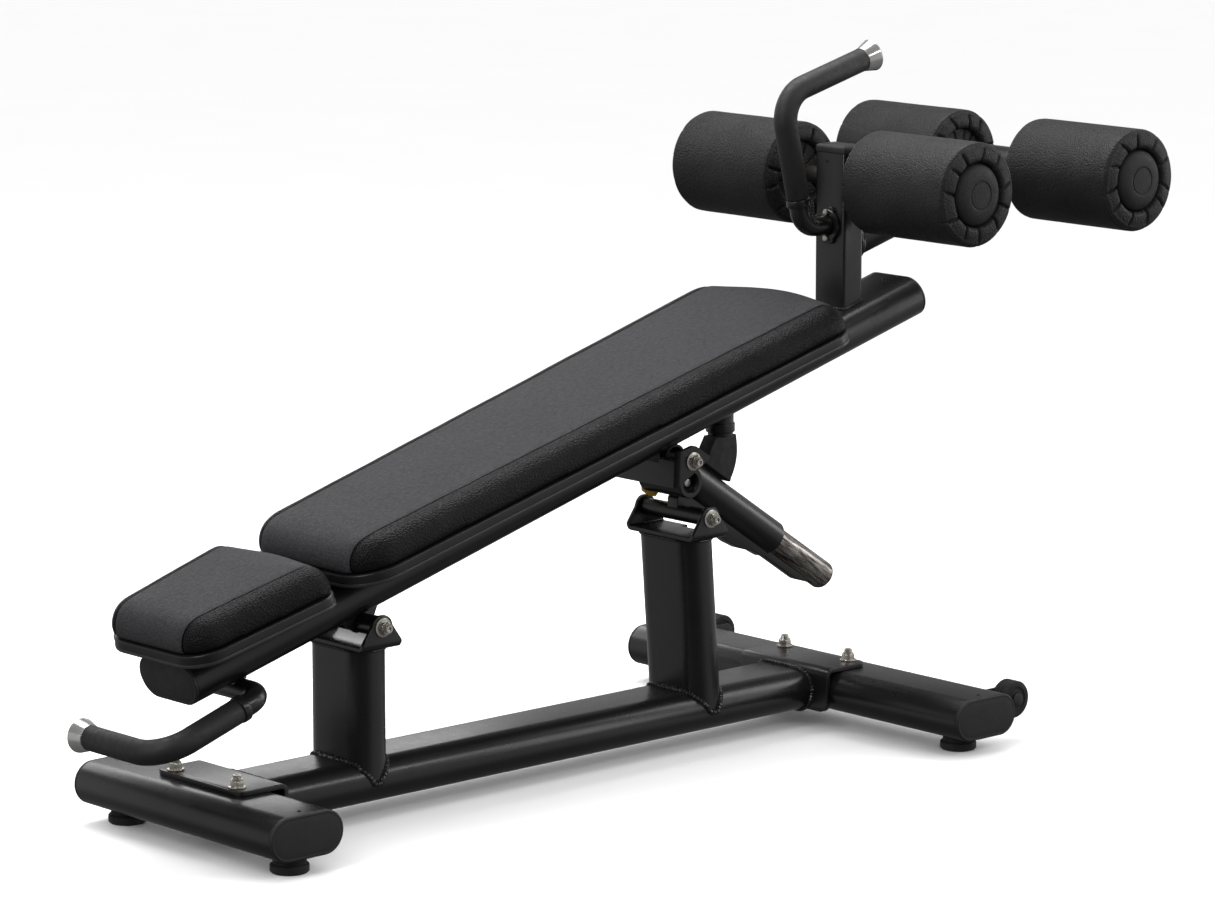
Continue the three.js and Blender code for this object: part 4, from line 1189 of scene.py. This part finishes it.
def roller_profile():
    """Half of a roller's outline, from its middle over the shoulder to the hollow of its end."""
    half = ROLLER_HALF
    side = [(ROLLER_RADIUS, y) for y in (0, half * 0.25, half * 0.5, half * 0.72)]
    side += [(ROLLER_RADIUS, half - d) for d in (26, 22, 18, 15, 12.5, 10)]
    shoulder = []
    for k in range(15):
        a = math.pi / 2 * k / 14
        fold = 0.9 * math.exp(-((math.degrees(a) - 48) / 8) ** 2)
        shoulder.append((65.7 + (9 - fold) * math.cos(a), half - 8 + (8 - fold) * math.sin(a)))
    end = [(63.5, half + 0.7), (61, half + 1.3), (58.5, half + 1.8), (56, half + 2.1), (53.5, half + 2.2),
           (51.8, half + 2.0), (50.2, half + 1.5), (48.7, half + 0.5), (47.4, half - 1.0), (46.4, half - 3.0),
           (45.6, half - 5.5), (45.2, half - 8)]
    return side + shoulder + end


def roller_creases(seed):
    """The creases round an end, each with its angle, depth, outer reach and lean."""
    rng = random.Random(seed)
    angles = [2 * math.pi * (k + rng.uniform(-0.2, 0.2)) / PLEATS for k in range(PLEATS)]
    depths = [rng.uniform(0.7, 1.2) for _ in angles]
    reaches = [rng.uniform(67, 76) for _ in angles]
    leans = [rng.uniform(-0.10, 0.10) for _ in angles]
    return list(zip(angles, depths, reaches, leans))


def drawn_in(r, y, angle, flip, creases, seed):
    """Where one spot of the skin comes to lie, with creases between puffed pleats."""
    on_end = y > ROLLER_HALF - SHOULDER
    inward = (ROLLER_RADIUS - r) - max(0.0, (ROLLER_HALF - SHOULDER) - y)
    gather = min(1.0, max(0.0, (inward + 12) / 18)) ** 1.5
    drop, nearest = 0.0, 1e9
    for crease, deep, far, skew in creases:
        centre = crease + skew * (r - 58) / 16
        away = abs((angle * flip - centre + math.pi) % (2 * math.pi) - math.pi)
        nearest = min(nearest, away)
        fade = min(1.0, max(0.0, (far + 5 - r) / 14)) if on_end else gather * 0.35
        width = 0.8 + 1.1 * fade
        drop += deep * fade * 4.4 * math.exp(-(away * r / width) ** 2)
    puff = math.sin(min(nearest * PLEATS / 2, math.pi / 2)) ** 0.7
    around = 0.5 * noise.noise(Vector((math.cos(angle) * 2.2, y * 0.015, math.sin(angle) * 2.2 + seed)))
    scallop = gather * (1 - puff) * 0.9
    if not on_end:
        return r + around - scallop * 0.7 - drop * 0.4, y
    tilt = min(1.0, max(0.0, (ROLLER_RADIUS - r) / 9))
    return r + around - (scallop + drop * 0.8) * (1 - tilt) * 0.7, y - tilt * (drop + scallop)


def roller(seed):
    """A foam roller about y: its cover is gathered into pleats over both ends."""
    creases = roller_creases(seed)
    profile = roller_profile()
    full = [(r, -y, -1) for r, y in reversed(profile)][:-1] + [(r, y, 1) for r, y in profile]
    rings = [flat_ring(13, 8 - ROLLER_HALF, ROLLER_SIDES)]
    for r, y, flip in full:
        ring = []
        for angle in full_circle(ROLLER_SIDES):
            radius, away = drawn_in(r, abs(y), angle, flip, creases, seed)
            ring.append((radius * math.sin(angle), away * flip if y else 0.0, radius * math.cos(angle)))
        rings.append(ring)
    rings.append(flat_ring(13, ROLLER_HALF - 8, ROLLER_SIDES))
    rings.append(rings[0])
    return loft(rings, caps=False)


def end_domes():
    """The domed caps over the outer ends of a left and a right roller."""
    end = ROLLER_OUT - 7.2
    dome = [(0, end), (43.8, end), (44.5, end + 0.8)]
    for k in range(0, 13):
        a = math.pi / 2 * k / 12
        dome.append((44.5 - 23.5 * (1 - math.cos(a)), end + 1.5 + 11.5 * math.sin(a)))
    dome += [(20.7, end + 12.9), (20.3, end + 12.1), (19.3, end + 12.1), (18.9, end + 13.0),
             (12, end + 13.4), (6, end + 13.6), (0, end + 13.7)]
    cap = turned(dome, 72)
    return cap, moved(cap, HALF_TURN)


def build_rollers():
    for name, axle in (("front", FRONT_AXLE), ("rear", REAR_AXLE)):
        where = BEAM @ Matrix.Translation(beam_point(*axle) * MM)
        shaft = rod(12.5, -ROLLER_OUT + 2, ROLLER_OUT - 2, 1.0)
        piece(f"{name}_axle_shaft", shaft, (where, "bench"), AXLE, f"{name}_axle")
        left, right = end_domes()
        piece(f"{name}_dome_left", left, (where, "bench"), DOME, sharp=50)
        piece(f"{name}_dome_right", right, (where, "bench"), DOME, sharp=50)
        for side, word in ((1, "left"), (-1, "right")):
            spot = where @ Matrix.Translation((0, side * (ROLLER_IN + ROLLER_OUT) / 2 * MM, 0))
            spot = spot @ Matrix.Rotation(math.radians(37 * (side + 2) + len(name) * 11), 4, "Y")
            seat = (spot, f"roller_{name[0]}{word[0]}")
            shape = roller(len(name) * 3 + side)
            node = f"{name}_roller_{word}"
            cover = piece(f"{node}_cover", shape, seat, SKIN, node, sharp=70)


# ---- roller post, arm and handles ----

POST_X, POST_TOP = 1170, 829


def roller_post_lid():
    """The plastic cap of the roller post, domed over its rounded edge."""
    outline = box_outline(42.5, 62.5, 6)
    steps = [(0.6, 0), (0, 0.6), (0, 5.5), (0.4, 7.2), (1.4, 9.0), (3.0, 10.2), (5.5, 10.9), (9, 11)]
    rings = []
    for distance, height in steps:
        rings.append([(x + POST_X, y, POST_TOP + 0.2 + height) for x, y in inset(outline, distance)])
    return loft(rings)


def roller_post_weld(outline):
    """The bead round the post's foot, on the beam's flat top."""
    path = []
    for px, py, _ in resampled([(a, b, 0) for a, b in inset(outline, -0.4)], 1.2):
        spot = beam_point(POST_X + px, 0, py)
        above = beam_point(POST_X + px, 100, py)
        share = (BEAM_TOP + 0.5 - spot.z) / (above.z - spot.z)
        path.append(spot.lerp(above, share))
    return bead(path, 2.6, 7)


def build_upper():
    outline = box_outline(40, 60, 5)
    tube = shifted(prism(outline, 560, POST_TOP, "z", 0.5), POST_X, 0, 0)
    below = prism(box_outline(400, 400, 2), -400, BEAM_TOP - 3, "z", 0.1)
    foot_at = beam_point(POST_X, 608)
    post_part = carved(world_part(tube), shifted(below, foot_at.x, 0, 0))
    piece("roller_post_tube", post_part, ON_BENCH, POWDER, "roller_post")
    piece("roller_post_lid", world_part(roller_post_lid()), ON_BENCH, CAP, "roller_post_cap")
    head = turned([(0, 0), (2.6, 0), (2.6, 0.5), (1.9, 0.5), (1.7, 0.1), (0, 0.1)], 20)
    screw = shifted(moved(head, Y_TO_BACK), POST_X - 20, 5, 816)
    piece("roller_post_screw", world_part(screw), ON_BENCH, CAP)
    piece("roller_post_weld", roller_post_weld(outline), ON_BENCH, POWDER)
    build_arm()
    build_upper_handle()


def build_arm():
    start = Vector((1190, 0, 695))
    end = Vector((REAR_AXLE[0], 0, REAR_AXLE[1]))
    arm = bar([start - Vector((2, 0, 0)), end], 25, 1, 40, 1)
    flange = shifted(moved(rod(28, 0, 8, 1.2, 48), Y_TO_X), 1190.2, 0, 695)
    boss = shifted(pipe(27, 12.6, -36, 36, 1.2, 56), end.x, 0, end.z)
    piece("roller_arm_tube", world_part(merged(arm, flange)), ON_BENCH, POWDER, "roller_arm")
    piece("roller_arm_boss", world_part(boss), ON_BENCH, POWDER)


def aimed(part, spot, facing):
    """A part drawn along y, moved to a spot and turned to face a direction."""
    turn = Vector((0, 1, 0)).rotation_difference(facing).to_matrix().to_4x4()
    return moved(part, Matrix.Translation(spot) @ turn)


def cone(tip, facing):
    """The flared polished end of a hand grip."""
    profile = filleted([
        (0, 0, 0), (17.6, 0, 0.6), (22.4, 17, 2.5), (23.5, 20.5, 1.4), (21.5, 23.2, 1.5), (12, 23.9, 4),
        (0, 24.2, 0),
    ], 5, closed=False)
    return aimed(turned(profile, 64), tip, facing)


def grip(name, corners, start, bends):
    """The bare tube up to its collar, the rubber grip beyond it and the polished end."""
    first, elbow, knee, tip = [Vector(c) for c in corners]
    up = (knee - elbow).normalized()
    collar = elbow + up * start
    tube = bar([first, elbow, collar - up * 1.0], 15, bends[0], 32, 1)
    band = aimed(rod(18.2, -11.8, -0.4, 1.6, 48), collar, up)
    piece(f"{name}_tube_bar", merged(tube, band), ON_BENCH, POWDER, f"{name}_tube")
    sleeve = bar([collar, knee, tip], 17, bends[1], 40, 1.4)
    piece(f"{name}_grip_sleeve", sleeve, ON_BENCH, GRIP, f"{name}_grip")
    facing = (tip - knee).normalized()
    piece(f"{name}_end_cone", cone(tip + facing * 0.3, facing), ON_BENCH, CHROME, f"{name}_end")


def build_upper_handle():
    flat = [(1149.7, 724), (1096, 726), (1051, 916), (1213, 959.2)]
    corners = [beam_point(x, z) for x, z in flat]
    grip("upper_handle", corners, 44, (30, 46))
    flange = moved(pipe(23, 14.9, 0, 6, 1.0), Y_TO_BACK)
    screws = [shifted(moved(rod(4.6, 5, 9.5, 0.8, 24), Y_TO_BACK), 0, 0, dz) for dz in (-19, 19)]
    back = prism(box_outline(26, 54, 8), -5, 0, "x", 0.8)
    root = (1149.8, 724)
    part = at_pivot(merged(back, flange), root)
    piece("upper_handle_flange", world_part(part), ON_BENCH, POWDER)
    heads = at_pivot(merged(*screws), root)
    piece("upper_handle_screws", world_part(heads), ON_BENCH, NICKEL)


def build_lower_handle():
    level = BEAM_UNDER - 15.3
    near, far = -219, -397.5
    corners = [(near, 26, level), (near, -80, level), (far, -80, level - 9), (far, 69, level - 9)]
    grip("lower_handle", corners, 46, (26, 50))
    weld = []
    for side in (1, -1):
        run = [(near + side * 11.5, y, BEAM_UNDER - 2.5) for y in range(-32, 27, 2)]
        weld += run if side > 0 else list(reversed(run))
    piece("lower_handle_weld", bead(resampled(weld, 1.2), 2.6, 9), ON_BENCH, POWDER)


def build_buffer():
    stem = turned(filleted([
        (0, 0, 0), (18.2, 0, 0), (18.2, 4, 0.6), (21, 4.8, 1), (21, 17, 1.2), (19.2, 18.4, 0.5),
        (19.2, 47, 0), (0, 47, 0),
    ], 4, closed=False), 48)
    stem = shifted(moved(stem, Y_TO_Z), 933.5, 0, 441.4)
    piece("buffer_stem_post", world_part(stem), ON_BENCH, POWDER, "buffer_stem")
    right = [bezier((953, 441), (963, 404), (941, 373), k / 12) for k in range(13)]
    left = [bezier((893, 404.8), (901, 423), (913, 441), k / 10) for k in range(11)]
    block = prism(list(reversed(right + left)), -13, 13, "y", 2.4, 4)
    piece("rest_buffer_block", world_part(block), ON_BENCH, RUBBER, "rest_buffer")


def bezier(a, b, c, t):
    u = 1 - t
    return (u * u * a[0] + 2 * u * t * b[0] + t * t * c[0], u * u * a[1] + 2 * u * t * b[1] + t * t * c[1])


# ---- strut, in its own frame: pin at the origin, x down along the strut ----

# The height of the tubes' axis, and the latch's place and height.
AXIS = -4.0
LATCH = (38.0, -19.3)


def strut_point(x, z):
    return in_frame(STRUT, (x, 0, z))


def lengthwise(part):
    """A part drawn along y, laid along the strut's tubes."""
    return shifted(moved(part, Y_TO_X), 0, 0, AXIS)


def sleeve_keel(hinge, bore):
    """The fin under the sleeve: it hangs down to the hinge barrel and is cut for the strut's rail."""
    outline = filleted([
        (54, AXIS - 10, 0), (54, -42, 4), (hinge.x - 8, hinge.z - 4, 3), (hinge.x + 8, hinge.z - 4, 3),
        (hinge.x + 26, -45, 4), (hinge.x + 110, -49, 20), (hinge.x + 135, -46, 10), (hinge.x + 162, -38, 6),
        (258, -36, 3), (258, AXIS - 10, 0),
    ], 6)
    rail = prism(box_outline(15, 40, 0.5), -60, 340, "x", 0.1)
    return carved(prism(outline, -10.5, 10.5, "y", 1.0), bore, shifted(rail, 0, 0, AXIS - 11))


def build_latch_housing(bore):
    """A pipe across the sleeve, its drilled core, and the ring and rivet that close its ends."""
    housing = at_pivot(pipe(22.5, 14, -40, 47, 1.4, 64), LATCH)
    core = at_pivot(carved(rod(15, -26, 24, 0.3), rod(6.4, 0, 60, 0.1)), LATCH)
    piece("latch_housing", carved(housing, bore), ON_SLEEVE, POWDER)
    piece("latch_housing_core", carved(core, bore), ON_SLEEVE, POWDER)
    rivet = shifted(rod(6, -30, -25, 1.2, 24), LATCH[0] + 3, 0, LATCH[1])
    piece("latch_housing_rivet", rivet, ON_SLEEVE, NICKEL)
    ring = at_pivot(pipe(14.2, 6.5, 44.4, 46.6, 0.4), LATCH)
    piece("latch_housing_ring", ring, ON_SLEEVE, POWDER)


def build_strut():
    hinge = strut_point(*REAR_PIVOT)
    bore = lengthwise(rod(21.6, -60, 330, 0.1))
    piece("sleeve_tube", lengthwise(pipe(26, 21.7, 52, 262, 1.0, 64)), ON_SLEEVE, POWDER, "strut_sleeve")
    piece("sleeve_keel", sleeve_keel(hinge, bore), ON_SLEEVE, POWDER)
    build_latch_housing(bore)
    barrel = shifted(pipe(12, 6.4, -62.5, 62.5, 1.0, 48), hinge.x, 0, hinge.z)
    piece("sleeve_barrel", barrel, ON_SLEEVE, POWDER)
    build_strut_tube()
    build_latch()


def build_strut_tube():
    tube = lengthwise(pipe(21, 17, 24, 388, 1.0, 64))
    slot = prism(box_outline(134, 13.4, 3), -30, 0, "y", 0.1)
    slot = shifted(slot, 24 + 67, 0, LATCH[1])
    outline = filleted([
        (178, AXIS - 15, 0), (178, AXIS - 30, 4), (338, AXIS - 30, 6), (386, AXIS - 16, 3),
        (386, AXIS - 15, 0),
    ], 6)
    rail = prism(outline, -7, 7, "y", 1.2)
    piece("strut_inner_tube", carved(tube, slot), ON_STRUT, DARK_CHROME, "strut_tube")
    piece("strut_inner_rail", rail, ON_STRUT, POWDER)
    eye = pipe(19.5, 15.5, -30, 30, 1.0, 56)
    neck = lengthwise(pipe(21, 15, 17, 27, 1.0, 56))
    piece("strut_eye", merged(eye, carved(neck, rod(19.0, -60, 60, 0.1))), ON_STRUT, POWDER)
    profile = filleted([
        (0, 374, 0), (16.6, 374, 0.5), (16.6, 388, 0), (20.6, 388.4, 0.8), (19.5, 390.5, 1), (0, 390.9, 0),
    ], 4, closed=False)
    plug = lengthwise(turned(profile, 48))
    piece("strut_tube_plug_cap", plug, ON_STRUT, CAP, "strut_tube_plug")


def build_latch():
    pin = turned([
        (0, 8), (3.4, 8), (4.6, 8.6), (6, 10.4), (6, 27), (8.8, 27), (8.8, 30), (6, 30), (6, 48), (0, 48),
    ], 32)
    piece("latch_pin_rod", at_pivot(pin, LATCH), ON_LATCH, NICKEL, "latch_pin")
    outline = filleted([(-13, 13, 6), (-13, -2, 6), (5, -24, 5), (22, -24, 4), (31, -20, 4), (33, -6, 6),
                        (13, 13, 6)], 8)
    knob = prism(outline, -55.1, -48.1, "y", 1.8, 4)
    piece("latch_knob_paddle", at_pivot(knob, LATCH), ON_LATCH, YELLOW, "latch_knob")
    piece("latch_spring_coil", at_pivot(latch_spring(), LATCH), ON_SLEEVE, SPRING, "latch_spring")


def latch_spring():
    """A short coil round the latch pin, from round wire."""
    turns, steps, radius, wire = 3, 16, 7.9, 0.6
    start, length = 39, 4.4
    points = []
    for k in range(turns * steps + 1):
        a = 2 * math.pi * k / steps
        y = start + length * k / (turns * steps)
        points.append(Vector((radius * math.cos(a), y, radius * math.sin(a))))
    rings = []
    for i, point in enumerate(points):
        along = heading(points, i)
        side = along.cross(Vector((0, 1, 0))).normalized()
        rings.append(hoop(point, side, side.cross(along), wire, 8))
    return loft(rings)


# ---- studio ----

def light(name, location, target, size, power):
    lamp = bpy.data.lights.new(name, "AREA")
    lamp.energy = power
    lamp.shape = "RECTANGLE"
    lamp.size, lamp.size_y = size
    thing = shown(name, lamp)
    thing.location = location
    thing.rotation_euler = (Vector(target) - Vector(location)).to_track_quat("-Z", "Y").to_euler()


def build_world():
    """White above and dark below. In reflections it is a bright band round the horizon, dark at the front."""
    world = bpy.data.worlds.new("studio")
    world.use_nodes = True
    tree = world.node_tree
    new, link = tree.nodes.new, tree.links.new
    direction = new("ShaderNodeTexCoord").outputs["Generated"]
    parted = new("ShaderNodeSeparateXYZ")
    link(direction, parted.inputs["Vector"])
    height = parted.outputs["Z"]
    front = new("ShaderNodeVectorMath")
    front.operation = "DOT_PRODUCT"
    front.inputs[1].default_value = (-0.673, -0.739, 0)
    link(direction, front.inputs[0])

    def times(first, second):
        node = new("ShaderNodeMath")
        node.operation = "MULTIPLY"
        link(first, node.inputs[0])
        link(second, node.inputs[1])
        return node.outputs["Value"]

    def background(strength):
        node = new("ShaderNodeBackground")
        link(strength, node.inputs["Strength"])
        node.inputs["Color"].default_value = (1, 1, 1, 1)
        return node.outputs["Background"]

    below = map_range(tree, height, -0.5, -0.2, 0.11, 0.4)
    above = map_range(tree, height, 0.25, 0.45, 1, 0.28)
    ahead = map_range(tree, front.outputs["Value"], 0.55, 0.9, 1, 0.2)
    glossy = times(times(below, above), ahead)
    choice = new("ShaderNodeMixShader")
    link(new("ShaderNodeLightPath").outputs["Is Glossy Ray"], choice.inputs["Fac"])
    link(background(map_range(tree, height, -0.1, 0.1, 0.25, 1.05)), choice.inputs[1])
    link(background(glossy), choice.inputs[2])
    link(choice.outputs["Shader"], tree.nodes["World Output"].inputs["Surface"])
    bpy.context.scene.world = world


def build_studio():
    mesh = bpy.data.meshes.new("floor")
    mesh.from_pydata([(-20, -20, 0), (20, -20, 0), (20, 20, 0), (-20, 20, 0)], [], [(0, 1, 2, 3)])
    m = Nodes("studio_floor", (0.96, 0.96, 0.96), 0.9)
    m.tone_and_painted_shade(m.uneven(0, 1, 3, 2), (0.955, 0.955, 0.955), (0.965, 0.965, 0.965))
    mesh.materials.append(m.finish())
    floor = shown("floor", mesh)
    floor.visible_glossy = False
    floor.visible_diffuse = False
    build_world()
    light("overhead", (0.2, 0.6, 2.6), (0, 0, 0), (3.2, 1.4), 70)
    light("front_left", (-3.0, -0.6, 2.2), (-0.2, 0, 0.5), (0.5, 2.4), 34)
    light("near_strip", (0.6, -3.2, 2.4), (0, 0, 0.4), (3.2, 0.4), 26)
    light("right_softbox", (2.9, -0.9, 1.4), (0, 0, 0.4), (0.8, 2.4), 16)
    light("side_strip", (2.3, -2.45, 1.4), (0, 0, 0.4), (0.7, 1.4), 8)
    light("back_strip", (0.8, 3.4, 1.6), (0.2, 0, 0.5), (3.4, 0.8), 20)
    bpy.context.scene.view_settings.view_transform = "Standard"


build_base()
build_beam()
cushion("head", HEAD)
cushion("back", BACK)
build_rollers()
build_upper()
build_lower_handle()
build_buffer()
build_strut()
build_studio()
